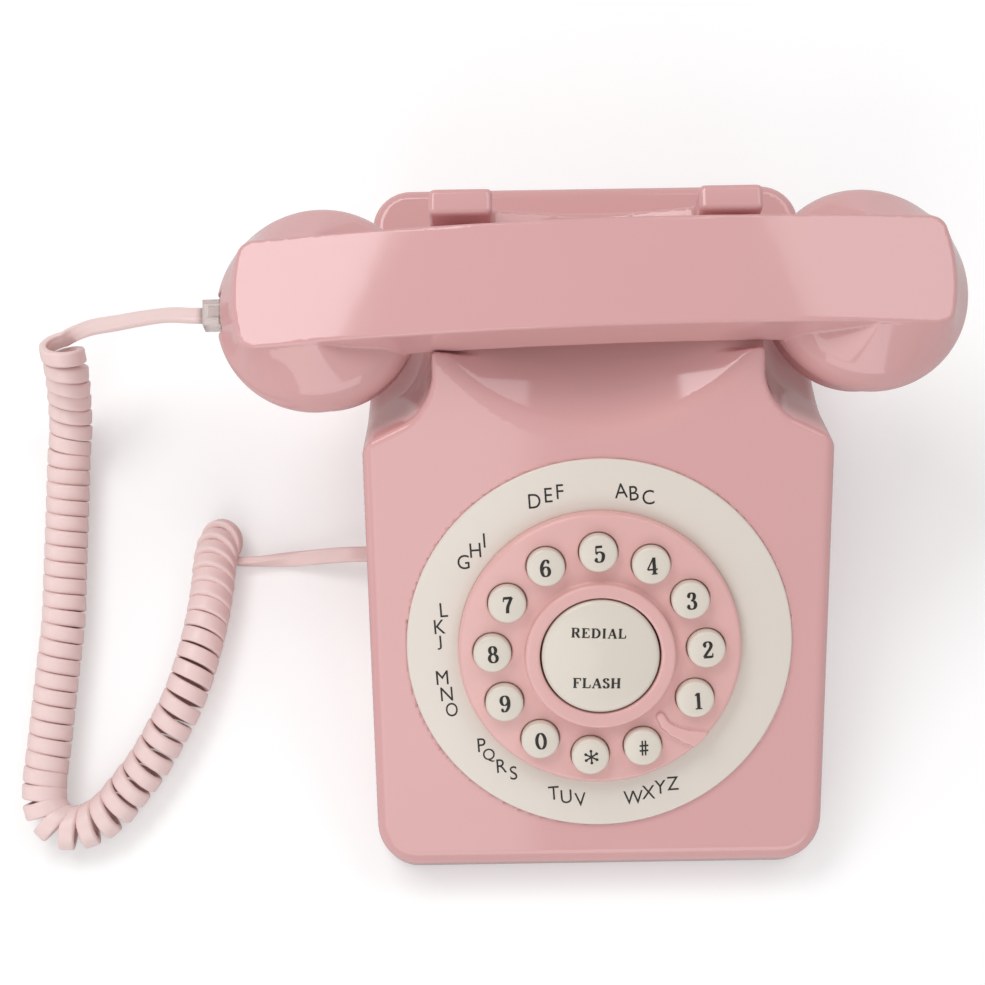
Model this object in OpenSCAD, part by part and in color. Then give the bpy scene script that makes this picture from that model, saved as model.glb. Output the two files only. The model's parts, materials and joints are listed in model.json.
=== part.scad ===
// Retro desk telephone: a wedge-shaped body with a push-button dial, a handset
// lying across a cradle, and a curly cord between the two.
// Millimetres, +Z up, front towards -Y. The origin is on the table, under the
// middle of the body's width and depth.

/* [Body] */
// Width of the body at its foot
body_w = 133.2; // [126:0.6:140]
// How far each side leans outwards from its foot to the shoulders
side_lean = 1.2; // [0.6:0.2:1.8]
// Depth of the body, front to back
body_d = 208.4; // [204:0.4:220]
// Height of the front edge, where the dial face starts
front_h = 15.4; // [13:0.4:17]
// Slope of the dial face, in degrees
face_angle = 28; // [27:0.5:29]
// Height of the flat deck beside and behind the neck
deck_h = 36; // [32:1:40]
// Plan radius of the body's four corners
corner_r = 12; // [9:1:15]
// Rounding along the edges of the body
edge_r = 3.5; // [2:0.5:5]
// Wall of the moulded housing
wall = 2.5; // [2:0.25:3]
// Height of the housing's lower rim above the table
rim_h = 1.6; // [1:0.2:2]

/* [Neck and cradle] */
// Width of the neck that carries the handset
neck_w = 94.4; // [92:0.4:98]
// Distance up the face from its front edge to the shoulders
shoulder_t = 128.9; // [127:0.4:131]
// How far the shoulder line climbs the face before it meets the neck
shoulder_rise = 6.7; // [5:0.1:8]
// Distance up the face from its front edge to the tips of the front horns
horn_t = 156.1; // [155:0.5:159]
// Drop from the tips of the front horns to the handset's seat
seat_drop = 5; // [4:0.5:6]
// Height of the rear horns above the front ones
rear_horn_rise = 9.3; // [6:0.3:11]
// Width of each rear horn
rear_horn_w = 18; // [14:1:20]
// Depth of each rear horn
rear_horn_d = 8; // [7:0.5:10]
// Steepness of the drop behind the shoulders, in degrees
pocket_slope = 54; // [50:1:58]
// Radius of the hollows at the foot of the neck
pocket_r = 10; // [8:0.5:12]
// Radius of the finger scoop between the front horns
scoop_r = 95; // [85:1:110]
// Depth of the finger scoop below the tips of the front horns
scoop_depth = 11.5; // [10:0.5:12.5]

/* [Dial] */
// Distance up the face from its front edge to the middle of the dial
dial_t = 68.2; // [67:0.2:70]
// Outer diameter of the lettered ring
ring_d = 112.6; // [111:0.2:114]
// Height of the lettered ring above the face
ring_proud = 1; // [0.6:0.2:1.6]
// Depth of the seat that the lettered ring drops into
ring_seat = 2; // [1.6:0.2:2.4]
// Diameter of the key plate
plate_d = 82.4; // [81:0.2:84]
// Height of the key plate above the face
plate_proud = 5; // [4:0.2:6]
// Outer diameter of the raised collar round the centre rocker
collar_d = 43.8; // [42.6:0.2:45]
// Height of the collar above the key plate
collar_proud = 3.4; // [2.6:0.2:4.2]
// Diameter of the centre rocker
rocker_d = 35.2; // [34:0.2:36]
// Height of the rocker above the key plate
rocker_proud = 5; // [4.4:0.2:5.6]
// Diameter of a key cap
key_d = 11.8; // [11:0.1:12.4]
// Height of a key cap above the key plate
key_proud = 3.2; // [2.8:0.2:4]
// Radius of the circle that the keys stand on
key_circle_r = 31; // [30.4:0.2:31.6]
// Angle from one key to the next
key_pitch = 29.1; // [28.2:0.3:29.4]
// Travel of a key
key_travel = 1.5; // [1:0.1:1.8]

/* [Handset] */
// Width of the handset's flat back and of its grip
bar_w = 31.6; // [30:0.4:33]
// Thickness of the grip
bar_h = 18; // [17:0.5:19]
// Radius of the arch along the handset's back
arch_r = 560; // [500:10:640]
// Distance along the arch from its middle to each dome
dome_s = 82; // [81:0.5:84]
// Radius of each dome at its widest
dome_r = 30; // [28:0.5:31]
// Depth of the dome's widest line below the handset's back
dome_drop = 19.3; // [18:0.5:21]
// Depth of the seam between dome and cap below the handset's back
seam_drop = 27; // [26:0.5:28]
// Height of each cap below the seam
cap_h = 12; // [10:1:14]
// Turn of the handset in its cradle, in degrees
handset_yaw = 1.3; // [0:0.1:1.4]
// Distance that the handset lies to the left of the middle
handset_off = 0.9; // [0:0.3:1.2]

/* [Hook and cord] */
// Diameter of the hook plungers
plunger_d = 5; // [4:0.5:6]
// Travel of the hook plungers
plunger_travel = 3; // [2.5:0.5:3.5]
// Distance from the middle of the neck to each plunger
plunger_x = 38; // [36:0.5:39]
// Outer diameter of the curled part of the cord
coil_d = 13.2; // [12.4:0.2:13.4]
// Width of the flat cord
flat_w = 4.6; // [4:0.2:5]
// Thickness of the flat cord
flat_h = 2.4; // [2:0.2:2.6]

/* [Hidden] */

$fn = 64;
eps = 0.01;                      // overlap of a cut past the surface it opens
fit = 0.2;                       // clearance between pieces that are put together
run = 0.1;                       // running clearance of a piece that moves

pink = [0.90, 0.66, 0.67];
ivory = [0.95, 0.92, 0.85];
steel = [0.75, 0.76, 0.78];
rubber = [0.22, 0.21, 0.21];
board = [0.12, 0.38, 0.22];
clear = [0.82, 0.82, 0.80];
dark = [0.16, 0.16, 0.18];

// ---- the face and what is laid out on it ----
front_y = -body_d / 2;
rear_y = body_d / 2;
side_x = body_w / 2;

// A point of the dial face: x across, t up the slope, h above it
function on_slope(x, t, h = 0) = [
    x,
    front_y + t * cos(face_angle) - h * sin(face_angle),
    front_h + t * sin(face_angle) + h * cos(face_angle)
];
module on_face(t, h = 0) {
    translate(on_slope(0, t, h)) rotate([face_angle, 0, 0]) children();
}

horn_y = on_slope(0, horn_t)[1];
horn_z = on_slope(0, horn_t)[2];
seat_z = horn_z - seat_drop;
neck_x = neck_w / 2;

// ---- the handset in its cradle ----
front_gap = 2;                   // between the front horns and the grip
rear_gap = 3.8;                  // between the grip and the rear horns
rest_gap = 0.3;                  // under the grip, where it lies on its seat
grip_y = horn_y + front_gap + bar_w / 2;
arch_fall = arch_r - sqrt(arch_r * arch_r - neck_x * neck_x);
handset_top = seat_z + rest_gap + bar_h + arch_fall;
rear_horn_y = grip_y + bar_w / 2 + rear_gap;
rear_horn_z = horn_z + rear_horn_rise;
neck_rear_y = rear_horn_y + rear_horn_d;
scoop_z = horn_z - scoop_depth;

// ---- the base ----
plate_t = 2.5;                   // thickness of the base plate
plate_z = 2;                     // underside of the base plate
floor_z = plate_z + plate_t;     // inner floor of the telephone
screw_at = [side_x - 13, front_y + 15, rear_y - 17];
boss_d = 9;
screw_d = 3;
screw_pad = 1.6;                 // raised pad round each screw in the base plate
foot_d = 12;
foot_at = [side_x - 26, front_y + 24, rear_y - 30];
jack_y = front_y + 96.4;         // the handset socket in the left side
jack_z = 9.5;
line_x = 24;                     // the line socket in the rear wall
bell_x = -24;                    // the ringer switch in the rear wall
rear_sock_z = 14;

// ---- the dial stack, as heights above the face ----
seat_pad_h = 6;                  // depth of the pad under the dial
dial_open_d = plate_d + 5.2;      // opening through the pad
plate_skin = 2.5;                // thickness of the key plate
plate_in_d = plate_d - 5.2;      // inside of the key plate's skirt
flange_d = dial_open_d - 2 * fit;
board_h = -4.8;                  // underside of the keypad board
board_t = 1.6;
sheet_t = 0.8;
sheet_h = board_h + board_t;
key_flange_t = 1.2;
key_flange_d = key_d + 2.2;
key_top = plate_proud + key_proud;
key_under = plate_proud - plate_skin;
dome_top = key_under - run - key_flange_t - key_travel - run;
rocker_axis_h = plate_proud + 1;
rocker_bore = rocker_d + 0.8;
rocker_dome_r = 125;
pin_d = 2.4;
retainer_d = dial_open_d + 16.4;

// Angles of the keys round the dial, counted from the right
key_first = 90 - 4 * key_pitch;
function key_angle(i) = key_first + i * key_pitch - 0.4;

// ---- the cord's route ----
coil_r = coil_d / 2;
plug = [11.7, 7.6, 6.6];         // length, width and height of a modular plug
plug_out = 4;                    // how much of the handset's plug stays outside
latch_tilt = 3;                  // the plug's latch, pressed down by its socket
base_plug_in = 0.4;              // how far the base's plug sits inside the wall
coil_route = [
    [-163, 53, 37], [-163, 48, 29], [-164, 42, 19], [-165, 34, 11],
    [-166, 25, 7.5], [-166, 12, 6.7], [-166, -1, 6.7], [-166, -14, 6.7],
    [-166, -27, 6.7], [-167, -40, 6.7], [-168, -53, 6.7], [-169, -66, 6.7],
    [-170, -78, 6.7], [-169, -86, 6.7], [-164, -91, 6.7], [-157, -91, 6.7],
    [-150, -87, 6.7], [-144, -80, 6.7], [-138, -72, 6.7], [-133, -63, 6.7],
    [-128, -53, 6.7], [-124, -41, 6.7], [-121, -28, 6.7], [-119, -15, 6.7],
    [-117, 1, 6.7]
];

// ---- general shapes ----

// A box with rounded vertical edges, standing on z = 0
module rounded_box(w, d, h, r) {
    linear_extrude(h) union() {
        square([w - 2 * r, d], center = true);
        square([w, d - 2 * r], center = true);
        for (x = [-1, 1], y = [-1, 1])
            translate([x * (w / 2 - r), y * (d / 2 - r)]) circle(r);
    }
}

// A ring standing on z = 0
module tube(d_out, d_in, h) {
    difference() {
        cylinder(d = d_out, h = h);
        translate([0, 0, -1]) cylinder(d = d_in, h = h + 2);
    }
}

// A round disc whose rim is rounded all over, its middle height at z = 0
module soft_disc(r, rim) {
    rotate_extrude($fn = 32) translate([r - rim, 0]) circle(rim, $fn = 24);
}

// A self-tapping screw with a pan head, pointing down from z = 0
module tapping_screw(len, d = 3) {
    head_h = d * 0.6;
    difference() {
        union() {
            translate([0, 0, -head_h]) cylinder(d = d * 1.9, h = head_h, $fn = 24);
            translate([0, 0, -len]) cylinder(d = d - 0.6, h = len - head_h + eps, $fn = 24);
        }
        for (a = [0, 90]) rotate(a) translate([0, 0, -0.45])
            cube([d * 1.1, 0.5, 1], center = true);
    }
}

// A modular plug lying along -X: its outer end is at the origin
module modular_plug() {
    difference() {
        translate([0, -plug[1] / 2, -plug[2] / 2]) cube([plug[0], plug[1], plug[2]]);
        translate([plug[0] - 4, -plug[1] / 2 + 1.2, -plug[2] / 2 - 1])
            cube([5, plug[1] - 2.4, 2.2]);
    }
    translate([1.5, -1.6, plug[2] / 2 - eps]) rotate([0, -latch_tilt, 0])
        cube([plug[0] - 3.4, 3.2, 0.8]);
}

// The socket that takes one: a box with a hole, its mouth at the origin
module modular_socket(depth, w, h, out = plug_out) {
    difference() {
        translate([0, -w / 2, -h / 2]) cube([depth, w, h]);
        translate([-1, -plug[1] / 2 - run, -plug[2] / 2 - run])
            cube([plug[0] - out + 1 + fit, plug[1] + 2 * run, plug[2] + 2 * run + 1.2]);
    }
}

// Sweep a closed outline along a list of points, as one polyhedron
function unit(v) = v / norm(v);
function heading(p, i) = unit(p[min(i + 1, len(p) - 1)] - p[max(i - 1, 0)]);
function sideways(p, i) = unit(cross([0, 0, 1], heading(p, i)));
function upward(p, i) = cross(heading(p, i), sideways(p, i));
module sweep(p, w, h, sides) {
    n = len(p);
    rings = [for (i = [0 : n - 1], k = [0 : sides - 1])
        let (a = 360 * (k + 0.5) / sides)
        p[i] + sideways(p, i) * cos(a) * w / 2 + upward(p, i) * sin(a) * h / 2];
    skin = [for (i = [0 : n - 2], k = [0 : sides - 1])
        let (j = (k + 1) % sides)
        each [
            [i * sides + k, i * sides + j, (i + 1) * sides + j],
            [i * sides + k, (i + 1) * sides + j, (i + 1) * sides + k]
        ]];
    first = [[for (k = [sides - 1 : -1 : 0]) k]];
    last = [[for (k = [0 : sides - 1]) (n - 1) * sides + k]];
    polyhedron(points = rings, faces = concat(skin, first, last), convexity = 6);
}

// ---- the body ----

// The body before the shoulders are hollowed: one smooth convex wedge
module wedge() {
    in_x = side_x - corner_r;
    hull() {
        for (x = [-in_x, in_x]) {
            translate([x, front_y + corner_r, rim_h]) cylinder(r = corner_r, h = 1, $fn = 32);
            translate([x, front_y + corner_r + 1, front_h + 2.2]) soft_disc(corner_r, edge_r);
            translate([x, rear_y - corner_r, rim_h]) cylinder(r = corner_r, h = 1, $fn = 32);
            translate([x, rear_y - corner_r, deck_h - edge_r]) soft_disc(corner_r, edge_r);
        }
        for (x = [-1, 1]) translate(on_slope(x * (side_x + side_lean - edge_r), horn_t, -edge_r))
            sphere(edge_r, $fn = 32);
    }
}

// Everything above the wedge that the handset lies on
module neck() {
    rotate([90, 0, 90]) translate([0, 0, -neck_x - 1]) linear_extrude(neck_w + 2)
        polygon([
            [0, deck_h], on_face_yz(horn_t - 60), [horn_y, horn_z],
            [horn_y + 0.4, seat_z], [neck_rear_y, seat_z], [neck_rear_y, deck_h]
        ]);
}
// The seat between the horns
module cradle() {
    rotate([90, 0, 90]) translate([0, 0, -side_x - 5]) linear_extrude(body_w + 10) polygon([
        [horn_y, horn_z + 40], [horn_y, horn_z], [horn_y + 0.4, seat_z],
        [rear_y + 5, seat_z], [rear_y + 5, horn_z + 40]
    ]);
}
module rear_horns() {
    for (x = [0, 1]) mirror([x, 0, 0])
        translate([neck_x - rear_horn_w, rear_horn_y, seat_z - 5])
            cube([rear_horn_w, rear_horn_d, rear_horn_z - seat_z + 5]);
}
function on_face_yz(t) = [on_slope(0, t)[1], on_slope(0, t)[2]];

// Centre of a ball that rolls in the shoulder hollow, touching its sloping wall
shoulder_a = on_slope(side_x + side_lean, shoulder_t);
shoulder_b = on_slope(side_x + side_lean - 13.8, shoulder_t + shoulder_rise);
shoulder_c = shoulder_a + [0, (shoulder_a[2] - deck_h) / tan(pocket_slope), deck_h - shoulder_a[2]];
wall_n = unit(cross(shoulder_c - shoulder_a, shoulder_b - shoulder_a));
function ball_on_wall(x, z, r) = [
    x,
    shoulder_a[1] + (r - wall_n[0] * (x - shoulder_a[0]) - wall_n[2] * (z - shoulder_a[2])) / wall_n[1],
    z
];

// The hollow beside the neck, under one end of the handset
module shoulder_hollow(grow = 0) {
    r = pocket_r;
    x0 = neck_x + r;
    z0 = deck_h + r;
    far = side_x + 40;
    top = rear_horn_z + 30;
    hull() for (x = [x0, far], z = [z0, top]) {
        translate(ball_on_wall(x, z, r)) sphere(r + grow, $fn = 32);
        translate([x, rear_y + 40, z]) sphere(r + grow, $fn = 32);
    }
}

// The flat deck behind the neck, with a rounded foot against it
module rear_hollow() {
    r = pocket_r;
    rotate([90, 0, 90]) translate([0, 0, -side_x - 5]) linear_extrude(body_w + 10) {
        translate([neck_rear_y + r, deck_h]) square([60, 80]);
        translate([neck_rear_y, deck_h + r]) square([60, 80]);
        translate([neck_rear_y + r, deck_h + r]) circle(r);
    }
}

// The space inside the housing
module housing_room() {
    in_w = body_w - 2 * wall;
    in_r = corner_r - wall;
    intersection() {
        translate([0, 0, -5]) rounded_box(in_w, body_d - 2 * wall, 200, in_r);
        rotate([90, 0, 90]) translate([0, 0, -side_x]) linear_extrude(body_w) polygon([
            [front_y - 5, -5],
            [front_y - 5, front_h - 4],
            [on_slope(0, 0, -wall)[1], on_slope(0, 0, -wall)[2]],
            [on_slope(0, horn_t - 12, -wall)[1], on_slope(0, horn_t - 12, -wall)[2]],
            [neck_rear_y - wall, scoop_z - wall],
            [neck_rear_y - wall, deck_h - wall],
            [rear_y + 5, deck_h - wall],
            [rear_y + 5, -5]
        ]);
    }
}

module upper_housing() color(pink) {
    difference() {
        union() {
            difference() {
                union() {
                    wedge();
                    neck();
                }
                cradle();
                // Finger scoop, from the front horns to the back of the neck
                translate([0, rear_y + 50, scoop_z + scoop_r]) rotate([90, 0, 0])
                    cylinder(r = scoop_r, h = 300, $fn = 180);
            }
            rear_horns();
        }
        for (x = [0, 1]) mirror([x, 0, 0]) shoulder_hollow();
        rear_hollow();
        // Inside, less the columns that stay standing in it
        difference() {
            intersection() {
                housing_room();
                translate([-200, -200, -5]) cube([400, 400, scoop_z - wall + 5]);
            }
            for (x = [0, 1]) mirror([x, 0, 0]) shoulder_hollow(wall);
            screw_columns();
            dial_pad();
            plunger_guides();
            lever_ribs();
        }
        screw_column_bores();
        dial_bores();
        for (x = [-plunger_x, plunger_x]) translate([x, grip_y, deck_h])
            cylinder(d = plunger_d + 2 * run, h = 80);
        lever_pin_bore();
        // Sockets and switch in the walls
        translate([-side_x - 1, jack_y, jack_z]) socket_window();
        translate([line_x, rear_y + 1, rear_sock_z]) rotate(-90) socket_window();
        translate([bell_x, rear_y, rear_sock_z]) cube([10, 20, 4.6], center = true);
    }
}

module socket_window() {
    translate([0, -plug[1] / 2 - 0.3, -plug[2] / 2 - 0.3])
        cube([wall + 2, plug[1] + 0.6, plug[2] + 1.8]);
}

module at_screws() {
    for (x = [-screw_at[0], screw_at[0]], y = [screw_at[1], screw_at[2]])
        translate([x, y, 0]) children();
}
module screw_columns() {
    at_screws() translate([0, 0, floor_z + screw_pad + run]) cylinder(d = boss_d, h = 100);
}
module screw_column_bores() {
    at_screws() translate([0, 0, floor_z - 1]) cylinder(d = screw_d - 0.4, h = 10, $fn = 24);
}

// A thick pad under the face that the dial is built into
module dial_pad() {
    on_face(dial_t, -seat_pad_h) cylinder(d = ring_d + 8, h = seat_pad_h);
}
module dial_bores() {
    on_face(dial_t, -ring_seat) cylinder(d = ring_d + 2 * fit, h = ring_seat + 5, $fn = 128);
    on_face(dial_t, -seat_pad_h - 6) cylinder(d = dial_open_d, h = 20, $fn = 96);
    at_retainer_screws() translate([0, 0, -seat_pad_h - 1])
        cylinder(d = screw_d - 0.4, h = 4, $fn = 24);
}
module at_retainer_screws() {
    on_face(dial_t) for (a = [45 : 90 : 315]) rotate(a)
        translate([retainer_d / 2 - 4, 0, 0]) children();
}

// Tubes that guide the hook plungers, and ribs that carry the lever's pin
lever_y = grip_y - 14;
lever_z = scoop_z - 23.2;
rib_t = 4;
rib_in = neck_x - wall - 1 - rib_t;
bracket_t = 2;
switch_h = 11;
bracket_z = lever_z - 3.2 - switch_h - bracket_t;
bracket_post_x = 20;
bracket_post_y = lever_y + 10;
module plunger_guides() {
    for (x = [-plunger_x, plunger_x]) translate([x, grip_y, scoop_z - wall - 5])
        cylinder(d = plunger_d + 5, h = 20, $fn = 32);
}
module lever_ribs() {
    for (x = [-1, 1]) translate([x * (rib_in + rib_t / 2) - rib_t / 2, lever_y - 5, lever_z - 6])
        cube([rib_t, 10, 50]);
    // Posts that the hook's bracket is screwed to
    for (x = [-bracket_post_x, bracket_post_x]) translate([x, bracket_post_y, bracket_z + bracket_t])
        cylinder(d = 7, h = 60, $fn = 32);
}
module lever_pin_bore() {
    at_bracket_screws() translate([0, 0, bracket_t]) cylinder(d = screw_d - 0.4, h = 9, $fn = 24);
    translate([-rib_in - rib_t - 1, lever_y, lever_z]) rotate([0, 90, 0])
        cylinder(d = hook_pin_d + 2 * run, h = 2 * (rib_in + rib_t + 1), $fn = 24);
}
module at_bracket_screws() {
    for (x = [-bracket_post_x, bracket_post_x]) translate([x, bracket_post_y, bracket_z]) children();
}
hook_pin_d = 3;

// ---- the base ----
module base_plate() color(pink) {
    w = body_w - 2 * (wall + fit);
    d = body_d - 2 * (wall + fit);
    difference() {
        union() {
            translate([0, 0, plate_z]) rounded_box(w, d, plate_t, corner_r - wall - fit);
            // A collar that holds the ringer, and posts under the board
            translate([bell_pos[0], bell_pos[1], floor_z - eps]) tube(ringer_d + 4, ringer_d + 2 * fit, 4);
            at_board_posts() translate([0, 0, floor_z - eps]) cylinder(d = 6, h = post_h);
            at_screws() translate([0, 0, floor_z - eps]) cylinder(d = boss_d, h = screw_pad);
        }
        at_screws() translate([0, 0, plate_z - 1])
            cylinder(d = screw_d + 0.4, h = plate_t + screw_pad + 2, $fn = 24);
        at_screws() translate([0, 0, plate_z - eps])
            cylinder(d = screw_d * 2.1, h = screw_d * 0.6 + 0.3, $fn = 32);
        at_feet() translate([0, 0, plate_z - eps]) cylinder(d = foot_d + 2 * fit, h = 1, $fn = 48);
        at_board_posts() translate([0, 0, floor_z + 0.5]) cylinder(d = 1.8, h = post_h, $fn = 24);
        // Slots that let the bell be heard
        for (i = [-3 : 3]) translate([bell_pos[0] + i * 4, bell_pos[1], plate_z - 1])
            translate([-0.9, -slot_len(i) / 2, 0]) cube([1.8, slot_len(i), plate_t + 2]);
    }
}
ringer_d = 36;
bell_pos = [-30, rear_y - 66];
function slot_len(i) = 2 * sqrt(pow(ringer_d / 2 - 4, 2) - pow(i * 4, 2));

module at_feet() {
    for (x = [-foot_at[0], foot_at[0]], y = [foot_at[1], foot_at[2]])
        translate([x, y, 0]) children();
}
module rubber_feet() color(rubber) {
    at_feet() cylinder(d = foot_d, h = plate_z + 0.9, $fn = 48);
}
module base_screws() color(steel) {
    at_screws() translate([0, 0, plate_z + 0.1]) mirror([0, 0, 1]) tapping_screw(10, screw_d);
}

post_h = 6;
board_w = 62;
board_d = 58;
board_pos = [26, rear_y - 76];
main_board_z = floor_z + post_h;
module at_board_posts() {
    for (x = [-1, 1], y = [-1, 1])
        translate([board_pos[0] + x * (board_w / 2 - 4), board_pos[1] + y * (board_d / 2 - 4), 0])
            children();
}
module main_board() color(board) {
    difference() {
        translate([board_pos[0], board_pos[1], main_board_z + eps])
            rounded_box(board_w, board_d, 1.6, 2);
        at_board_posts() translate([0, 0, main_board_z - 1]) cylinder(d = 2.4, h = 4, $fn = 24);
    }
    // Parts soldered on top
    translate([board_pos[0] - 12, board_pos[1] - 6, main_board_z + 1.6]) cube([16, 9, 3]);
    translate([board_pos[0] + 14, board_pos[1] - 10, main_board_z + 1.6]) cylinder(d = 8, h = 10);
    translate([board_pos[0] + 14, board_pos[1] + 4, main_board_z + 1.6]) cylinder(d = 6, h = 8);
}
module board_screws() color(steel) {
    at_board_posts() translate([0, 0, main_board_z + 1.7 + 1.3]) tapping_screw(6.5, 2.2);
}
module ballast_plate() color(steel) {
    translate([0, front_y + 52, floor_z + 0.1]) rounded_box(86, 40, 4, 4);
}
module ringer_speaker() color(dark) {
    translate([bell_pos[0], bell_pos[1], floor_z + 0.1]) {
        cylinder(d = ringer_d, h = 3);
        translate([0, 0, 3 - eps]) cylinder(d1 = ringer_d - 4, d2 = 20, h = 5);
        translate([0, 0, 8 - 2 * eps]) cylinder(d = 18, h = 4);
    }
}
module handset_jack() color(dark) {
    translate([-side_x + wall + 0.1, jack_y, jack_z])
        modular_socket(13, 12, jack_in_h, wall + 0.1 - base_plug_in);
}
jack_in_h = 2 * (jack_z - floor_z) - 0.2;
module line_jack() color(dark) {
    translate([line_x, rear_y - wall - 0.1, rear_sock_z]) rotate(-90)
        modular_socket(14, 14, 2 * (rear_sock_z - floor_z) - 0.2);
}
switch_travel = 4;
module ringer_switch_body() color(dark) {
    translate([bell_x, rear_y - wall - 0.1 - 4, rear_sock_z]) difference() {
        cube([16, 8, 2 * (rear_sock_z - floor_z) - 0.2], center = true);
        translate([0, 3, 0]) cube([4.2 + switch_travel, 6, 4], center = true);
    }
}
module ringer_switch_knob() color(ivory) {
    translate([bell_x - switch_travel / 2, 0, rear_sock_z]) {
        translate([-2, rear_y - wall - 3.9, -1.9]) cube([4, wall + 3.1, 3.8]);
        for (i = [-1 : 1]) translate([i * 1.3 - 0.3, rear_y - 0.9, -1.9]) cube([0.6, 0.8, 3.8]);
    }
}

// ---- the hook ----
plunger_top = handset_top - bar_h - (arch_r - sqrt(arch_r * arch_r - plunger_x * plunger_x)) - 0.15;
plunger_foot = lever_z + 4.3;
arm_w = 6;
nose_d = 3;                      // the nose that lifts each plunger near its middle
arm_x = min(plunger_x, rib_in - arm_w / 2 - 0.3);
module hook_plunger() color(clear) {
    translate([0, grip_y, plunger_foot]) {
        difference() {
            cylinder(d = plunger_d, h = plunger_top - plunger_foot, $fn = 32);
            translate([0, 0, plunger_top - plunger_foot - 0.6]) tube(plunger_d + 2, plunger_d - 1, 2);
        }
        cylinder(d = plunger_d + 2.4, h = 2, $fn = 32);
    }
}
module hook_plunger_left() translate([-plunger_x, 0, 0]) hook_plunger();
module hook_plunger_right() translate([plunger_x, 0, 0]) hook_plunger();

module hook_lever() color(ivory) {
    reach = rib_in - 0.3;
    difference() {
        union() {
            // The hub on its pin
            translate([-reach, lever_y, lever_z]) rotate([0, 90, 0])
                cylinder(d = 7, h = 2 * reach, $fn = 40);
            // An arm and a nose under each plunger, and a paddle on the switch
            for (x = [-arm_x, arm_x]) translate([x - arm_w / 2, lever_y, lever_z - 1.2])
                cube([arm_w, grip_y - lever_y + 3, 3]);
            for (x = [-arm_x, arm_x]) translate([x, grip_y, lever_z - 1.2])
                cylinder(d = nose_d, h = plunger_foot - lever_z + 1, $fn = 32);
            translate([-5, lever_y, lever_z - 3]) cube([10, 15, 3]);
        }
        translate([-reach - 1, lever_y, lever_z]) rotate([0, 90, 0])
            cylinder(d = hook_pin_d + 2 * run, h = 2 * reach + 2, $fn = 24);
    }
}
module hook_pin() color(steel) {
    translate([-rib_in - rib_t, lever_y, lever_z]) rotate([0, 90, 0])
        cylinder(d = hook_pin_d, h = 2 * (rib_in + rib_t), $fn = 24);
}
// The spring under the lever pushes the plungers up
spring_base = bracket_z + bracket_t + 0.1;
spring_h = lever_z - 1.3 - spring_base;
module hook_spring() color(steel) {
    translate([-arm_x, grip_y - 4, spring_base]) difference() {
        cylinder(d = 5.2, h = spring_h, $fn = 32);
        translate([0, 0, -1]) cylinder(d = 3.6, h = spring_h + 2, $fn = 32);
    }
}
module hook_switch() color(dark) {
    translate([-8, lever_y + 5, bracket_z + bracket_t + 0.1]) cube([16, 8, switch_h]);
}
module hook_bracket() color(steel) {
    difference() {
        translate([-rib_in, lever_y + 2, bracket_z]) cube([2 * rib_in, 18, bracket_t - 0.1]);
        at_bracket_screws() translate([0, 0, -1]) cylinder(d = screw_d + 0.4, h = 5, $fn = 24);
    }
}
module bracket_screws() color(steel) {
    at_bracket_screws() translate([0, 0, -screw_d * 0.6 - 0.1]) mirror([0, 0, 1]) tapping_screw(9, screw_d);
}

// ---- the dial ----
module dial_ring() color(ivory) {
    on_face(dial_t) difference() {
        translate([0, 0, -ring_seat + eps]) cylinder(d = ring_d, h = ring_seat + ring_proud, $fn = 128);
        translate([0, 0, -ring_seat - 1]) cylinder(d = plate_d + 2 * fit, h = 10, $fn = 128);
        // A chamfer round the outer edge
        translate([0, 0, ring_proud - 0.5]) difference() {
            cylinder(d = ring_d + 4, h = 2, $fn = 128);
            translate([0, 0, -eps]) cylinder(d1 = ring_d, d2 = ring_d - 1.2, h = 0.6, $fn = 128);
        }
    }
}

module at_key(i) {
    rotate(key_angle(i)) translate([key_circle_r, 0, 0]) rotate(-key_angle(i)) children();
}

module dial_plate() color(pink) {
    on_face(dial_t) {
        difference() {
            union() {
                translate([0, 0, -seat_pad_h]) cylinder(d = plate_d, h = plate_proud + seat_pad_h, $fn = 128);
                translate([0, 0, -seat_pad_h]) cylinder(d = flange_d, h = seat_pad_h - ring_seat - 0.1, $fn = 96);
                translate([0, 0, plate_proud - eps]) cylinder(d = collar_d, h = collar_proud, $fn = 96);
            }
            // Room for the keypad behind
            translate([0, 0, -seat_pad_h - 1]) cylinder(d = plate_in_d, h = seat_pad_h + 1 + key_under, $fn = 96);
            translate([0, 0, -1]) cylinder(d = rocker_bore, h = 30, $fn = 96);
            for (i = [0 : 11]) at_key(i) cylinder(d = key_d + 0.5, h = 20, $fn = 40);
            // Bearings for the rocker's trunnions
            translate([-rocker_bore / 2 - 1.6, 0, rocker_axis_h]) rotate([0, 90, 0])
                cylinder(d = pin_d + 2 * run, h = rocker_bore + 3.2, $fn = 24);
        }
        finger_stop();
    }
}

// The moulded ridge that stands for a dial's finger stop: it bends and widens
// from the collar to the rim
module finger_stop() {
    steps = 8;
    for (i = [0 : steps])
        let (u = i / steps, a = -50.5 + 7.5 * u * u, r = 27 + u * (plate_d / 2 - 27 - 1.8 - 1.7 * u))
        translate([r * cos(a), r * sin(a), plate_proud - eps])
            cylinder(r1 = 1.5 + 1.5 * u, r2 = 1.1 + 1.5 * u, h = 1.15, $fn = 24);
}

module key(i) color(ivory) {
    on_face(dial_t) at_key(i) {
        translate([0, 0, key_under - run - eps]) cylinder(d = key_d, h = key_top - key_under - 0.6, $fn = 48);
        translate([0, 0, key_top - 0.6 - 0.11]) cylinder(d1 = key_d, d2 = key_d - 1.4, h = 0.7, $fn = 48);
        translate([0, 0, key_under - run - key_flange_t]) cylinder(d = key_flange_d, h = key_flange_t, $fn = 40);
    }
}

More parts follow.
